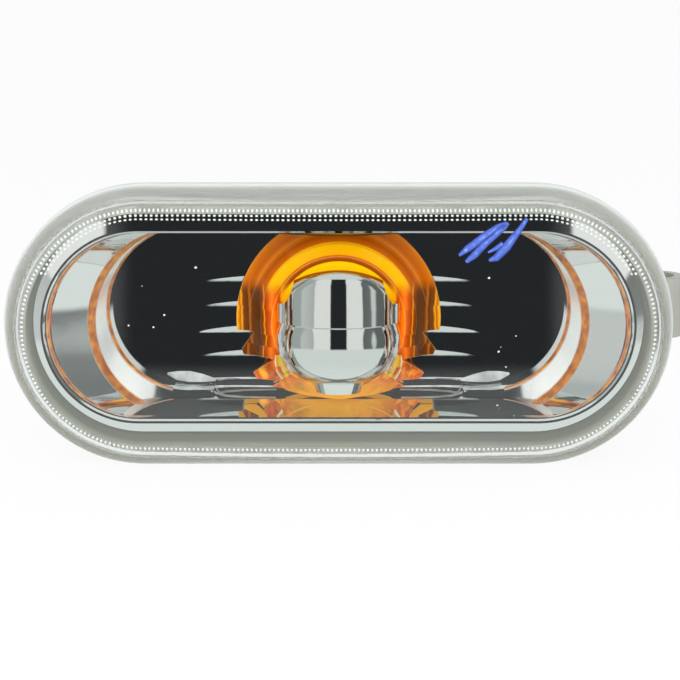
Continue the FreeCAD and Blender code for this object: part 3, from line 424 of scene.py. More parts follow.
def amber_polycarbonate():
    """Moulded amber polycarbonate with painted light and shade: yellow where its steps would carry light, deep
    orange and brown between, and pale painted highlights on the edges.

    A faint glow of its own, strongest on the underside, is painted light: it stands for the light that the
    plastic carries to its shaded sides.
    """
    material, tree = new_material("moulded_amber_polycarbonate")
    place = add(tree, "ShaderNodeTexCoord").outputs["Object"]
    axes = add(tree, "ShaderNodeSeparateXYZ", inputs={"Vector": place})
    flat = add(tree, "ShaderNodeCombineXYZ", inputs={"X": axes.outputs["X"], "Z": axes.outputs["Z"]})
    radius = add(tree, "ShaderNodeVectorMath", {"operation": "LENGTH"}, {0: flat.outputs["Vector"]})
    side = add(tree, "ShaderNodeMath", {"operation": "ABSOLUTE"}, {0: axes.outputs["X"]})
    # Painted light bands: as each flute would bend the light its own way, the bands beside the shield jump from
    # layer to layer and waver
    layer = add(tree, "ShaderNodeMath", {"operation": "SNAP"}, {0: axes.outputs["Z"], 1: FLUTE_HEIGHT})
    jump = add(tree, "ShaderNodeTexWhiteNoise", {"noise_dimensions": "1D"}, {"W": layer.outputs[0]})
    waver = add(tree, "ShaderNodeTexNoise", inputs={"Vector": place, "Scale": 1 / (2 * MM), "Detail": 2.0})
    shift = add(
        tree,
        "ShaderNodeMath",
        {"operation": "ADD"},
        {0: jump.outputs["Value"], 1: waver.outputs["Fac"]},
    )
    bent = add(
        tree,
        "ShaderNodeMapRange",
        inputs={"Value": shift.outputs[0], "From Max": 2.0, "To Min": -0.5 * MM, "To Max": 0.5 * MM},
    )
    band_place = add(
        tree,
        "ShaderNodeMath",
        {"operation": "ADD"},
        {0: side.outputs[0], 1: bent.outputs["Result"]},
    )
    shares = [
        add(
            tree,
            "ShaderNodeMapRange",
            inputs={"Value": length, "From Min": BANDS_FROM, "From Max": BANDS_TO},
        ).outputs["Result"]
        for length in (radius.outputs["Value"], band_place.outputs[0])
    ]
    # Painted light and shade: the rings above, the bands beside and the foot below are coloured by position
    above = add(
        tree,
        "ShaderNodeValToRGB",
        inputs={"Fac": shares[0]},
        stops=[
            (0.0, "#FFC800"),
            (0.26, "#FFC000"),
            (0.285, "#7C2400"),
            (0.33, "#A84400"),
            (0.37, "#C86400"),
            (0.385, "#F8AC00"),
            (0.55, "#FFC000"),
            (0.57, "#D06000"),
            (0.66, "#A84000"),
            (0.72, "#D87000"),
            (0.80, "#B04C00"),
            (0.90, "#C86400"),
            (1.0, "#E89010"),
        ],
    )
    beside = add(
        tree,
        "ShaderNodeValToRGB",
        inputs={"Fac": shares[1]},
        stops=[
            (0.0, "#FFC000"),
            (0.16, "#F8A000"),
            (0.20, "#B03000"),
            (0.27, "#E85800"),
            (0.33, "#FF7A10"),
            (0.40, "#C84000"),
            (0.455, "#A03000"),
            (0.47, "#F0A020"),
            (0.49, "#8A2C00"),
            (0.56, "#3C1000"),
            (0.68, "#5A1C00"),
            (0.72, "#B05800"),
            (0.745, "#4A1600"),
            (0.83, "#6A2600"),
            (0.86, "#F0A000"),
            (0.885, "#A85000"),
            (0.92, "#E89800"),
            (1.0, "#FFC840"),
        ],
    )
    height = add(
        tree,
        "ShaderNodeMapRange",
        {"interpolation_type": "SMOOTHSTEP"},
        {"Value": axes.outputs["Z"], "From Min": RINGS_FROM, "From Max": RINGS_FULL},
    )
    colour = add(
        tree,
        "ShaderNodeMix",
        {"data_type": "RGBA"},
        {"Factor": height.outputs["Result"], "A": beside.outputs["Color"], "B": above.outputs["Color"]},
    )
    lower = add(
        tree,
        "ShaderNodeMapRange",
        {"interpolation_type": "SMOOTHSTEP"},
        {"Value": axes.outputs["Z"], "From Min": FOOT_FROM, "From Max": FOOT_FULL},
    )
    below = add(
        tree,
        "ShaderNodeValToRGB",
        inputs={"Fac": waver.outputs["Fac"]},
        stops=[(0.32, "#7A2400"), (0.45, "#E86400"), (0.52, "#B83C00"), (0.6, "#F07800"), (0.7, "#FFB428")],
    )
    colour = add(
        tree,
        "ShaderNodeMix",
        {"data_type": "RGBA"},
        {"Factor": lower.outputs["Result"], "A": colour.outputs[2], "B": below.outputs["Color"]},
    )
    # Painted light: the underside, which the mirror below shows, is painted the brightest, and painted
    # highlights make the edges pale
    true_normal = add(tree, "ShaderNodeNewGeometry").outputs["Normal"]
    facing = add(tree, "ShaderNodeSeparateXYZ", inputs={"Vector": true_normal})
    under = add(
        tree,
        "ShaderNodeMapRange",
        {"interpolation_type": "SMOOTHSTEP"},
        {"Value": facing.outputs["Z"], "From Min": -0.5, "From Max": -0.9},
    )
    rounded = add(tree, "ShaderNodeBevel", {"samples": 6}, {"Radius": 0.2 * MM})
    bend = add(
        tree,
        "ShaderNodeVectorMath",
        {"operation": "DOT_PRODUCT"},
        {0: rounded.outputs["Normal"], 1: true_normal},
    )
    edge = add(
        tree,
        "ShaderNodeMapRange",
        inputs={"Value": bend.outputs["Value"], "From Min": 0.97, "From Max": 0.85, "To Max": 0.8},
    )
    for share, pale in ((under, "#FFC000"), (edge, "#FFD890")):
        colour = add(
            tree,
            "ShaderNodeMix",
            {"data_type": "RGBA"},
            {"Factor": share.outputs["Result"], "A": colour.outputs[2], "B": to_linear(pale)},
        )
    # Painted light: a faint amber glow of its own, strongest on the underside
    glow = add(
        tree,
        "ShaderNodeMapRange",
        inputs={"Value": under.outputs["Result"], "To Min": 0.05, "To Max": 0.45},
    )
    surface = add(
        tree,
        "ShaderNodeBsdfPrincipled",
        inputs={
            "Base Color": colour.outputs[2],
            "Roughness": 0.08,
            "IOR": 1.585,
            "Specular IOR Level": 0.15,
            "Emission Color": to_linear("#FFB400"),
            "Emission Strength": glow.outputs["Result"],
            "Normal": rounded.outputs["Normal"],
        },
    )
    show(tree, surface)
    return material


def moulded_plastic(name, colour, roughness, grain, ledge=None):
    """Moulded plastic: the fine grain of a spark-eroded mould, given in metres, and rounded edges."""
    material, tree = new_material(name)
    place = add(tree, "ShaderNodeTexCoord").outputs["Object"]
    speckle = add(tree, "ShaderNodeTexNoise", inputs={"Vector": place, "Scale": 1 / grain, "Detail": 3.0})
    cloud = add(tree, "ShaderNodeTexNoise", inputs={"Vector": place, "Scale": 1 / (9 * MM), "Detail": 2.0})
    base = to_linear(colour)
    if ledge:
        shaded = add(tree, "ShaderNodeValToRGB", inputs={"Fac": from_core(tree, place)}, stops=ledge)
        axes = add(tree, "ShaderNodeSeparateXYZ", inputs={"Vector": place})
        behind = add(tree, "ShaderNodeMath", {"operation": "GREATER_THAN"}, {0: axes.outputs["Y"], 1: 0.0})
        base = add(
            tree,
            "ShaderNodeMix",
            {"data_type": "RGBA"},
            {"Factor": behind.outputs[0], "A": shaded.outputs["Color"], "B": base},
        ).outputs[2]
    shade = add(
        tree,
        "ShaderNodeMix",
        {"data_type": "RGBA", "blend_type": "MULTIPLY"},
        {"Factor": 0.12, "A": base, "B": cloud.outputs["Color"]},
    )
    rough = add(
        tree,
        "ShaderNodeMapRange",
        inputs={"Value": cloud.outputs["Fac"], "To Min": roughness - 0.1, "To Max": roughness + 0.1},
    )
    rounded = add(tree, "ShaderNodeBevel", {"samples": 4}, {"Radius": 0.2 * MM})
    bump = add(
        tree,
        "ShaderNodeBump",
        inputs={
            "Height": speckle.outputs["Fac"],
            "Strength": 0.25,
            "Distance": 0.03 * MM,
            "Normal": rounded.outputs["Normal"],
        },
    )
    surface = add(
        tree,
        "ShaderNodeBsdfPrincipled",
        inputs={
            "Base Color": shade.outputs[2],
            "Roughness": rough.outputs["Result"],
            "Normal": bump.outputs["Normal"],
        },
    )
    show(tree, surface)
    return material


# The housing's grey: its flange is darker where the lens shades it
HOUSING_GREYS = inset_stops(
    (6.0, "#5C5D57"), (3.4, "#66675F"), (2.9, "#8A8B81"), (1.5, "#94958B"), (1.0, "#A0A197")
)


def worked_metal(name, colour, tarnish, roughness, grain):
    """Drawn or rolled metal: fine lines along the lamp's depth, and a duller tarnish in patches."""
    material, tree = new_material(name)
    place = add(tree, "ShaderNodeTexCoord").outputs["Object"]
    drawn = add(tree, "ShaderNodeVectorMath", {"operation": "MULTIPLY"}, {0: place, 1: (1.0, 0.05, 1.0)})
    lines = add(
        tree,
        "ShaderNodeTexNoise",
        inputs={"Vector": drawn.outputs["Vector"], "Scale": 1 / grain, "Detail": 2.0},
    )
    patches = add(tree, "ShaderNodeTexNoise", inputs={"Vector": place, "Scale": 1 / (2.5 * MM), "Detail": 4.0})
    shade = add(
        tree,
        "ShaderNodeValToRGB",
        inputs={"Fac": patches.outputs["Fac"]},
        stops=[(0.4, colour), (0.7, tarnish)],
    )
    rough = add(
        tree,
        "ShaderNodeMapRange",
        inputs={"Value": patches.outputs["Fac"], "To Min": roughness - 0.1, "To Max": roughness + 0.15},
    )
    bump = add(
        tree,
        "ShaderNodeBump",
        inputs={"Height": lines.outputs["Fac"], "Strength": 0.2, "Distance": 0.01 * MM},
    )
    surface = add(
        tree,
        "ShaderNodeBsdfPrincipled",
        inputs={
            "Base Color": shade.outputs["Color"],
            "Metallic": 1.0,
            "Roughness": rough.outputs["Result"],
            "Normal": bump.outputs["Normal"],
        },
    )
    show(tree, surface)
    return material


def soda_glass():
    """Blown soda glass: clear, with the slow waves of a drawn tube."""
    material, tree = new_material("blown_soda_glass")
    place = add(tree, "ShaderNodeTexCoord").outputs["Object"]
    waves = add(tree, "ShaderNodeTexNoise", inputs={"Vector": place, "Scale": 1 / (5 * MM), "Detail": 1.0})
    bump = add(
        tree,
        "ShaderNodeBump",
        inputs={"Height": waves.outputs["Fac"], "Strength": 0.2, "Distance": 0.08 * MM},
    )
    surface = add(
        tree,
        "ShaderNodeBsdfPrincipled",
        inputs={
            "Base Color": to_linear("#FAFCFC"),
            "Roughness": 0.0,
            "IOR": 1.52,
            "Transmission Weight": 1.0,
            "Normal": bump.outputs["Normal"],
        },
    )
    show(tree, surface)
    return material


dress("lens", clear_pmma())
dress("reflector", stepped_reflector())
dress("bulb_shield", metallised("metallised_shield", "#E6E8E6", 0.05, 0.05))
dress("amber_filter", amber_polycarbonate())
dress("housing", moulded_plastic("moulded_grey_abs", "#A6A89E", 0.45, 0.3 * MM, HOUSING_GREYS))
dress("panel_gasket", moulded_plastic("die_cut_epdm_foam", "#2A2A2A", 0.85, 0.4 * MM))
dress("bulb_holder", moulded_plastic("moulded_black_nylon", "#262728", 0.5, 0.3 * MM))
dress("holder_seal", moulded_plastic("moulded_silicone", "#9A4A2C", 0.6, 0.5 * MM))
rolled_brass = worked_metal("rolled_tinned_brass", "#CDBE95", "#9C8A62", 0.3, 0.15 * MM)
for contact in ("contact_left", "contact_right"):
    dress(contact, rolled_brass)
dress("bulb_glass", soda_glass())
drawn_wire = worked_metal("drawn_nickel_iron_wire", "#B0A89C", "#8A8074", 0.3, 0.08 * MM)
for lead in ("bulb_lead_left", "bulb_lead_right"):
    dress(lead, drawn_wire)


# Pieces that only the scene has

graph = bpy.context.evaluated_depsgraph_get()
lens_tree, reflector_tree, filter_tree, shield_tree = (
    BVHTree.FromObject(nodes[name], graph) for name in ("lens", "reflector", "amber_filter", "bulb_shield")
)
# How far a small piece sinks into what carries it, or a thin strip lies off it
SEAT = 0.02 * MM
# A depth between the lens's inner face and the reflector's rim
BEHIND_LENS = -5 * MM


def new_piece(name, mesh, material, body):
    piece = bpy.data.objects.new(name, mesh)
    scene.collection.objects.link(piece)
    mesh.materials.append(material)
    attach(piece, body)
    return piece


def inside_lens(point):
    """The lens's inner face in front of a point, and its normal there."""
    start = Vector((point.x, BEHIND_LENS, point.z))
    hit, normal, *_ = lens_tree.ray_cast(start, Vector((0, -1, 0)))
    return hit, normal


def oval_path(side_inset, end_inset, pitch):
    """Evenly spaced points and outward ways along an oval inside the lens's outline, seen from the front."""
    half_height = lens_high.z - side_inset
    straight = lens_high.x - end_inset - half_height
    arc = math.pi * half_height
    around = 4 * straight + 2 * arc
    count = round(around / pitch)
    for i in range(count):
        run = around * i / count
        side, run = divmod(run, around / 2)
        sign = 1 - 2 * side
        if run < 2 * straight:
            point = Vector((run - straight, 0, half_height))
            outward = Vector((0, 0, 1))
        else:
            turn = (run - 2 * straight) / half_height
            outward = Vector((math.sin(turn), 0, math.cos(turn)))
            point = Vector((straight, 0, 0)) + outward * half_height
        yield point * sign, outward * sign


def glint_painted_beads():
    """Moulded PMMA beads: small domes painted opaque near-white as a painted highlight for the glints of the
    clear teeth, glossy where the light catches them.
    """
    material, tree = new_material("pmma_beads_painted_glint")
    surface = add(
        tree,
        "ShaderNodeBsdfPrincipled",
        inputs={"Base Color": to_linear("#E8EAE6"), "Roughness": 0.12, "IOR": 1.49},
    )
    show(tree, surface)
    return material


def satin_pmma():
    """Moulded PMMA left satin by its mould: a pale grey veil."""
    material, tree = new_material("moulded_satin_pmma")
    place = add(tree, "ShaderNodeTexCoord").outputs["Object"]
    cloud = add(tree, "ShaderNodeTexNoise", inputs={"Vector": place, "Scale": 1 / (3 * MM), "Detail": 2.0})
    shade = add(
        tree,
        "ShaderNodeValToRGB",
        inputs={"Fac": cloud.outputs["Fac"]},
        stops=[(0.3, "#868A82"), (0.7, "#9CA098")],
    )
    surface = add(
        tree,
        "ShaderNodeBsdfPrincipled",
        inputs={"Base Color": shade.outputs["Color"], "Roughness": 0.4},
    )
    show(tree, surface)
    return material


# Teeth round the lens's inner edge: inset from its long sides and from its ends, pitch, and a tooth's half
# width and half length
EDGE_TEETH = (3.2 * MM, 3.0 * MM, 0.58 * MM, 0.16 * MM, 0.22 * MM)
# The double row along the upper edge, and how far down the ends it runs
UPPER_TEETH = (
    (3.75 * MM, 3.65 * MM, 0.68 * MM, 0.2 * MM, 0.13 * MM),
    (4.2 * MM, 4.1 * MM, 0.68 * MM, 0.2 * MM, 0.13 * MM),
)
UPPER_TEETH_END = 7.0 * MM
# The land that the edge teeth stand on: its width, and its height at its edges and along its middle
LAND_WIDTH = 0.75 * MM
LAND_EDGE, LAND_CREST = 0.03 * MM, 0.08 * MM


def add_dome(verts, faces, place):
    """Adds a dome of unit size, put in place by a matrix and standing along its own Z."""
    corners = 8
    rings = 3
    first = len(verts)
    for ring in range(rings):
        lean = math.pi / 2 * ring / rings
        for i in range(corners):
            turn = 2 * math.pi * i / corners
            reach = math.cos(lean)
            verts.append(place @ Vector((reach * math.cos(turn), reach * math.sin(turn), math.sin(lean))))
    verts.append(place @ Vector((0, 0, 1)))
    top = len(verts) - 1
    for i in range(corners):
        j = (i + 1) % corners
        for ring in range(rings - 1):
            low = first + ring * corners
            faces.append((low + i, low + j, low + corners + j, low + corners + i))
        last = first + (rings - 1) * corners
        faces.append((last + i, last + j, top))
    faces.append(tuple(first + i for i in reversed(range(corners))))


def dome_place(point, normal, along, half_sizes):
    """Sets a dome on a surface, its second axis along a given way."""
    third = normal.normalized()
    first = along.cross(third).normalized()
    second = third.cross(first)
    turn = Matrix((first, second, third)).transposed().to_4x4()
    return Matrix.Translation(point - third * SEAT) @ turn @ Matrix.Diagonal((*half_sizes, 1.0))


def make_land():
    """Pale raised land round the lens's inner edge, on which the row of teeth stands."""
    side_inset, end_inset, pitch, *_ = EDGE_TEETH
    verts, faces = [], []
    section = ((-LAND_WIDTH / 2, LAND_EDGE), (0.0, LAND_CREST), (LAND_WIDTH / 2, LAND_EDGE))
    for point, outward in oval_path(side_inset, end_inset, pitch * 2):
        for offset, height in section:
            hit, normal = inside_lens(point + outward * offset)
            verts.append(hit + Vector((0, height, 0)))
    rows = len(section)
    for i in range(0, len(verts), rows):
        j = (i + rows) % len(verts)
        faces += [(i + k, j + k, j + k + 1, i + k + 1) for k in range(rows - 1)]
    mesh = bpy.data.meshes.new("tooth_land")
    mesh.from_pydata(verts, [], faces)
    mesh.shade_smooth()
    land = new_piece("tooth_land", mesh, satin_pmma(), "lamp")
    land.visible_glossy = False


def make_teeth(name, rows, lowest):
    """Rows of teeth moulded inside the lens's front, down to a given height."""
    verts, faces = [], []
    for side_inset, end_inset, pitch, half_width, half_length in rows:
        for point, outward in oval_path(side_inset, end_inset, pitch):
            if point.z < lowest:
                continue
            hit, normal = inside_lens(point)
            sizes = (half_width, half_length, min(half_width, half_length) * 0.8)
            add_dome(verts, faces, dome_place(hit, normal, outward, sizes))
    mesh = bpy.data.meshes.new(name)
    mesh.from_pydata(verts, [], faces)
    mesh.shade_smooth()
    teeth = new_piece(name, mesh, tooth_painted_glint, "lamp")
    # Clear teeth are too faint for the reflector's black rim to mirror
    teeth.visible_glossy = False


def felt_tip():
    """Felt-tip ink: a thin blue film, streaky and paler where the tip pressed."""
    material, tree = new_material("felt_tip_ink")
    place = add(tree, "ShaderNodeTexCoord").outputs["Object"]
    depth = add(tree, "ShaderNodeAttribute", {"attribute_name": "middle"})
    streaks = add(tree, "ShaderNodeTexNoise", inputs={"Vector": place, "Scale": 1 / (0.5 * MM), "Detail": 3.0})
    mix = add(
        tree,
        "ShaderNodeMath",
        {"operation": "MULTIPLY"},
        {0: depth.outputs["Fac"], 1: streaks.outputs["Fac"]},
    )
    ink = add(
        tree,
        "ShaderNodeValToRGB",
        inputs={"Fac": mix.outputs[0]},
        stops=[
            (0.0, "#1E2C70"),
            (0.15, "#33489C"),
            (0.32, "#4C66BC"),
            (0.42, "#3C54A4"),
            (0.55, "#6884D0"),
            (0.7, "#A4BAE8"),
        ],
    )
    surface = add(
        tree,
        "ShaderNodeBsdfPrincipled",
        inputs={"Base Color": ink.outputs["Color"], "Roughness": 0.5},
    )
    show(tree, surface)
    return material


# Marker strokes as pixels of the photograph: across, down and the stroke's width there
STROKES = (
    ((459, 255.5, 3), (468, 248.5, 7.5), (485, 236, 8), (498, 227.5, 7.5), (507, 223, 4)),
    ((466, 262, 4), (474, 255.5, 7.5), (487, 242, 7), (497, 233, 7.5), (505, 226.5, 6), (508.5, 223, 3)),
    ((489, 260.5, 3), (496, 258, 7.5), (506, 247.5, 9.5), (514, 237, 7.5), (521, 228, 5.5), (527, 218.5, 4)),
    ((488, 252.5, 2), (495, 249, 4), (503, 243.5, 5.5)),
)


def lay_strips(name, strips, carriers, crown, material):
    """Thin strips along pixel paths, each with a middle and two edges, laid on what the camera sees there."""
    verts, faces, middles = [], [], []
    steps = 6
    for strip in strips:
        first = len(verts)
        legs = list(zip(strip, strip[1:]))
        ways = [Vector((end[0] - start[0], 0, start[1] - end[1])).normalized() for start, end in legs]
        bends = [ways[0], *((a + b).normalized() for a, b in zip(ways, ways[1:])), ways[-1]]
        for leg, (start, end) in enumerate(legs):
            for i in range(steps + (leg == len(legs) - 1)):
                along = bends[leg].lerp(bends[leg + 1], i / steps).normalized()
                across = Vector((along.z, 0, -along.x))
                x, y, width = (a + (b - a) * i / steps for a, b in zip(start, end))
                for side, middle in ((-0.5, 0.0), (0.0, 1.0), (0.5, 0.0)):
                    ray = pixel_ray(x + across.x * width * side, y - across.z * width * side)
                    hits = [tree.ray_cast(eye, ray) for tree in carriers]
                    hit, *_ = min((h for h in hits if h[0]), key=lambda h: h[3])
                    verts.append(hit - ray * (SEAT + crown * middle))
                    middles.append(middle)
        for i in range(first, len(verts) - 3, 3):
            faces += [(i, i + 1, i + 4, i + 3), (i + 1, i + 2, i + 5, i + 4)]
    mesh = bpy.data.meshes.new(name)
    mesh.from_pydata(verts, [], faces)
    mesh.shade_smooth()
    layer = mesh.attributes.new("middle", "FLOAT", "POINT")
    layer.data.foreach_set("value", middles)
    return new_piece(name, mesh, material, "lamp")


def mirrored(strips):
    """Strips together with their mirror images about the lamp's middle."""
    return [*strips, *(tuple((2 * LAMP_MIDDLE[0] - x, y, width) for x, y, width in strip) for strip in strips)]


# Fillets where the reflector's floor meets its lower wall and the slot, painted as pale highlight lines, as
# pixels and widths
FILLET_HIGHLIGHTS = (
    ((168, 372.5, 2), (178, 374.5, 9), (190, 375.5, 11), (203, 377, 8), (214, 378.5, 3.5), (226, 377.5, 2.2),
     (245, 377, 2), (270, 377, 1.6)),
    ((176, 383, 1.2), (192, 385, 2), (206, 386.5, 2.6), (216, 385.6, 2.4), (235, 385, 1.8), (276, 385.5, 1.6)),
    ((208, 387.5, 1.4), (216, 391.5, 2.2), (226, 394.5, 2.2), (245, 396, 2), (276, 396.5, 1.6)),
)
# Painted highlights along the bright edges of the filter's lowest step
FILTER_EDGE_HIGHLIGHTS = (
    ((279.5, 354, 8), (280.5, 360, 11.5), (283, 369, 13), (287, 375.5, 12)),
)


def painted_fillet_highlight():
    """Painted highlight on the metallised fillets: too round to mirror anything plainly, they are painted as
    pale lines.
    """
    material, tree = new_material("fillet_painted_highlight")
    place = add(tree, "ShaderNodeTexCoord").outputs["Object"]
    cloud = add(tree, "ShaderNodeTexNoise", inputs={"Vector": place, "Scale": 1 / (2 * MM), "Detail": 2.0})
    shade = add(
        tree,
        "ShaderNodeValToRGB",
        inputs={"Fac": cloud.outputs["Fac"]},
        stops=[(0.3, "#A4AAAB"), (0.7, "#E0E5E4")],
    )
    surface = add(
        tree,
        "ShaderNodeBsdfPrincipled",
        inputs={"Base Color": shade.outputs["Color"], "Metallic": 0.3, "Roughness": 0.35},
    )
    show(tree, surface)
    return material


def painted_filter_highlight():
    """Painted highlight on the amber polycarbonate's lowest step: bright yellow, nearly white along its edges.
    """
    material, tree = new_material("amber_edge_painted_highlight")
    middle = add(tree, "ShaderNodeAttribute", {"attribute_name": "middle"})
    place = add(tree, "ShaderNodeTexCoord").outputs["Object"]
    waver = add(tree, "ShaderNodeTexNoise", inputs={"Vector": place, "Scale": 1 / (0.8 * MM), "Detail": 2.0})
    bent = add(
        tree,
        "ShaderNodeMath",
        {"operation": "MULTIPLY_ADD"},
        {0: waver.outputs["Fac"], 1: 0.4, 2: middle.outputs["Fac"]},
    )
    shade = add(
        tree,
        "ShaderNodeValToRGB",
        inputs={"Fac": bent.outputs[0]},
        stops=[(0.2, "#FFFAE8"), (0.38, "#FFF0B0"), (0.45, "#F0A000"), (0.8, "#FFB800"), (1.0, "#FFD830")],
    )
    surface = add(
        tree,
        "ShaderNodeBsdfPrincipled",
        inputs={"Base Color": shade.outputs["Color"], "Roughness": 0.1, "IOR": 1.585},
    )
    show(tree, surface)
    return material


def settled_dust():
    """Settled dust: pale matt grains."""
    material, tree = new_material("settled_dust")
    place = add(tree, "ShaderNodeTexCoord").outputs["Object"]
    grains = add(tree, "ShaderNodeTexNoise", inputs={"Vector": place, "Scale": 1 / (0.1 * MM), "Detail": 2.0})
    shade = add(
        tree,
        "ShaderNodeValToRGB",
        inputs={"Fac": grains.outputs["Fac"]},
        stops=[(0.3, "#D8DAD8"), (0.7, "#FFFFFF")],
    )
    surface = add(
        tree,
        "ShaderNodeBsdfPrincipled",
        inputs={"Base Color": shade.outputs["Color"], "Roughness": 0.8},
    )
    show(tree, surface)
    return material


# Dust on the reflector, as pixels of the photograph and each grain's half width in them
DUST = (
    (196.2, 267.5, 1.5), (164.8, 314.5, 1.3), (129.3, 325, 1.2), (154, 326.8, 1.2), (488.5, 277.8, 1.4),
    (498, 351, 1.3), (505.3, 366, 1.0), (515.5, 335.5, 0.9), (142.6, 285.8, 0.8), (500.2, 346.5, 0.7),
)


def make_dust():
    """Grains of dust where the photograph shows them."""
    verts, faces = [], []
    for x, y, half in DUST:
        hit, normal, *_ = reflector_tree.ray_cast(eye, pixel_ray(x, y))
        size = half * PIXEL
        add_dome(verts, faces, dome_place(hit, normal, Vector((0, 0, 1)), (size, size * 0.9, size * 0.3)))
    mesh = bpy.data.meshes.new("reflector_dust")
    mesh.from_pydata(verts, [], faces)
    mesh.shade_smooth()
    new_piece("reflector_dust", mesh, settled_dust(), "lamp")


def make_filament():
    """Coiled tungsten wire with straight ends, in place of the plain filament rod."""
    low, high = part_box("bulb_filament")
    middle = (low + high) / 2
    coil_radius = (high.z - low.z) / 2 - 0.06 * MM
    wire_radius = 0.05 * MM
    turns = 15
    turn_steps = 14
    sides = 6
    end = 0.2 * MM
    coil_length = high.x - low.x - end * 2
    path = [Vector((low.x, middle.y, middle.z))]
    for i in range(turns * turn_steps + 1):
        turn = 2 * math.pi * i / turn_steps
        along = low.x + end + coil_length * i / (turns * turn_steps)
        off_axis = Vector((0, math.cos(turn), math.sin(turn))) * coil_radius
        path.append(Vector((along, middle.y, middle.z)) + off_axis)
    path.append(Vector((high.x, middle.y, middle.z)))
    verts, faces = [], []
    for i, point in enumerate(path):
        way = (path[min(i + 1, len(path) - 1)] - path[max(i - 1, 0)]).normalized()
        first = way.cross(Vector((0, 0.6, 0.8))).normalized()
        second = way.cross(first)
        for side in range(sides):
            turn = 2 * math.pi * side / sides
            verts.append(point + (first * math.cos(turn) + second * math.sin(turn)) * wire_radius)
    for i in range(len(path) - 1):
        here, ahead = i * sides, (i + 1) * sides
        for side in range(sides):
            following = (side + 1) % sides
            faces.append((here + side, here + following, ahead + following, ahead + side))
    faces.append(tuple(range(sides)))
    faces.append(tuple(len(verts) - sides + side for side in reversed(range(sides))))
    mesh = bpy.data.meshes.new("filament_coil")
    mesh.from_pydata(verts, [], faces)
    mesh.shade_smooth()
    tungsten = worked_metal("drawn_tungsten", "#8C8C90", "#6A6A70", 0.35, 0.05 * MM)
    coil = new_piece("filament_coil", mesh, tungsten, "bulb_carrier")
    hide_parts("bulb_filament")


tooth_painted_glint = glint_painted_beads()
make_land()
make_teeth("edge_teeth", [EDGE_TEETH], lens_low.z)
make_teeth("upper_teeth", UPPER_TEETH, UPPER_TEETH_END)
strokes = lay_strips("marker_strokes", STROKES, [lens_tree], 0.0, felt_tip())
# The thin ink is too faint for the mirrors to show
strokes.visible_glossy = False
fillets = lay_strips("floor_fillet_highlights", mirrored(FILLET_HIGHLIGHTS), [reflector_tree], 0.04 * MM, painted_fillet_highlight())
filter_highlight_strips = lay_strips("filter_edge_highlights", mirrored(FILTER_EDGE_HIGHLIGHTS), [filter_tree, shield_tree], 0.1 * MM, painted_filter_highlight())
make_dust()
make_filament()


# Studio


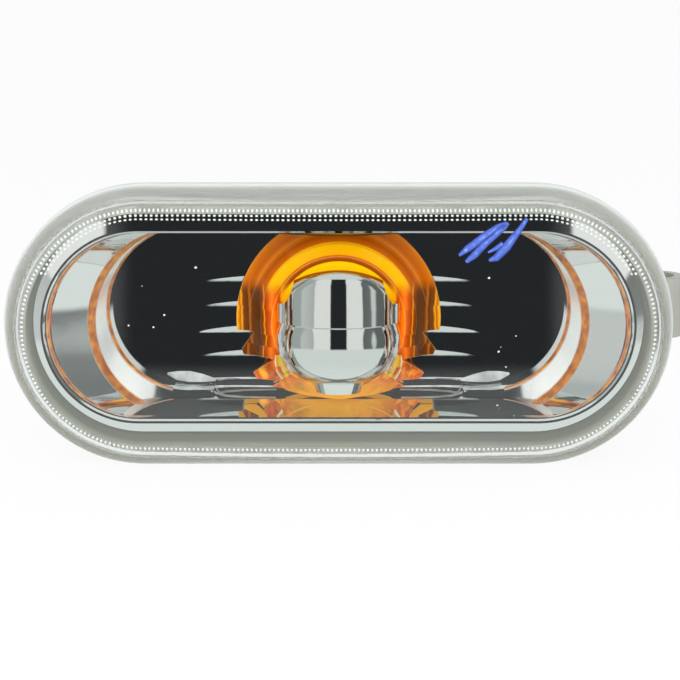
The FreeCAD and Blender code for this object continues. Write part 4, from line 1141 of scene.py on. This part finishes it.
def light_studio():
    """Pale room with a dark gap in front, between two bright panels, for the mirror to show."""
    world = bpy.data.worlds.new("studio")
    scene.world = world
    world.use_nodes = True
    tree = world.node_tree
    tree.nodes.clear()
    way = add(tree, "ShaderNodeTexCoord").outputs["Generated"]
    axes = add(tree, "ShaderNodeSeparateXYZ", inputs={"Vector": way})
    across = add(
        tree,
        "ShaderNodeMapRange",
        inputs={"Value": axes.outputs["X"], "From Min": -1.0, "From Max": 1.0},
    )
    room = add(
        tree,
        "ShaderNodeValToRGB",
        inputs={"Fac": across.outputs["Result"]},
        stops=[
            (0.0, "#DCE0DF"),
            (0.05, "#D4D8D7"),
            (0.135, "#C4C8C8"),
            (0.15, "#FFFFFF"),
            (0.365, "#FFFFFF"),
            (0.38, "#2A2C2F"),
            (0.62, "#2A2C2F"),
            (0.635, "#FFFFFF"),
            (0.85, "#FFFFFF"),
            (0.865, "#6E7373"),
            (0.94, "#7A7F7F"),
            (0.955, "#E0E3E1"),
            (1.0, "#E8EAE8"),
        ],
    ).outputs["Color"]
    sides = add(
        tree,
        "ShaderNodeValToRGB",
        inputs={"Fac": across.outputs["Result"]},
        stops=[(0.0, "#B4BABA"), (0.45, "#C4C8C8"), (0.55, "#7A7F7F"), (1.0, "#6E7373")],
    )
    beside = add(
        tree,
        "ShaderNodeMapRange",
        {"interpolation_type": "SMOOTHSTEP"},
        {"Value": axes.outputs["Y"], "From Min": -0.33, "From Max": -0.22},
    )
    room = add(
        tree,
        "ShaderNodeMix",
        {"data_type": "RGBA"},
        {"Factor": beside.outputs["Result"], "A": room, "B": sides.outputs["Color"]},
    ).outputs[2]
    # Each further part of the room: axis, from where to where it takes over, and its colour
    parts = (
        ("Z", -0.24, -0.32, "#F0F6F4"),
        ("Z", 0.72, 0.82, "#F0F2F2"),
        ("Y", 0.25, 0.5, "#F4F4F4"),
    )
    for axis, start, end, colour in parts:
        takes_over = add(
            tree,
            "ShaderNodeMapRange",
            {"interpolation_type": "SMOOTHSTEP"},
            {"Value": axes.outputs[axis], "From Min": start, "From Max": end},
        )
        room = add(
            tree,
            "ShaderNodeMix",
            {"data_type": "RGBA"},
            {"Factor": takes_over.outputs["Result"], "A": room, "B": to_linear(colour)},
        ).outputs[2]
    path = add(tree, "ShaderNodeLightPath")
    seen = add(
        tree,
        "ShaderNodeMix",
        {"data_type": "RGBA"},
        {"Factor": path.outputs["Is Camera Ray"], "A": room, "B": to_linear("#FFFFFF")},
    )
    sky = add(tree, "ShaderNodeBackground", inputs={"Color": seen.outputs[2], "Strength": 1.0})
    add(tree, "ShaderNodeOutputWorld", inputs={"Surface": sky.outputs[0]})


def hang_lamp(name, place, side, power):
    """Soft lamp aimed at the middle, kept out of the mirrors and the clear plastic."""
    data = bpy.data.lights.new(name, "AREA")
    data.size = side
    data.energy = power
    lamp = bpy.data.objects.new(name, data)
    lamp.location = place
    lamp.rotation_euler = Vector(place).to_track_quat("Z", "Y").to_euler()
    lamp.visible_camera = False
    lamp.visible_glossy = False
    lamp.visible_transmission = False
    scene.collection.objects.link(lamp)


# The floor: half its side, its gap under the lamp, and how much of the paper's white is plain to the camera
FLOOR_HALF = 1.5
FLOOR_GAP = 0.05 * MM
PAPER_GLOW = 0.9


def lay_floor():
    """White floor under the lamp, kept out of the mirrors."""
    half = FLOOR_HALF
    level = cad_box[0].z - FLOOR_GAP
    mesh = bpy.data.meshes.new("floor")
    corners = [(-half, -half, level), (half, -half, level), (half, half, level), (-half, half, level)]
    mesh.from_pydata(corners, [], [(0, 1, 2, 3)])
    floor = bpy.data.objects.new("floor", mesh)
    scene.collection.objects.link(floor)
    material, tree = new_material("white_paper")
    paper = add(tree, "ShaderNodeBsdfDiffuse", inputs={"Color": to_linear("#F2F2F2")})
    glow = add(tree, "ShaderNodeEmission", inputs={"Color": to_linear("#FFFFFF"), "Strength": 1.0})
    path = add(tree, "ShaderNodeLightPath")
    share = add(
        tree,
        "ShaderNodeMath",
        {"operation": "MULTIPLY"},
        {0: path.outputs["Is Camera Ray"], 1: PAPER_GLOW},
    )
    mix = add(
        tree,
        "ShaderNodeMixShader",
        inputs={0: share.outputs[0], 1: paper.outputs[0], 2: glow.outputs[0]},
    )
    show(tree, mix)
    mesh.materials.append(material)
    floor.visible_glossy = False
    floor.visible_transmission = False


light_studio()
hang_lamp("front_lamp", place=(0.0, -0.62, 0.22), side=0.5, power=5.0)
lay_floor()
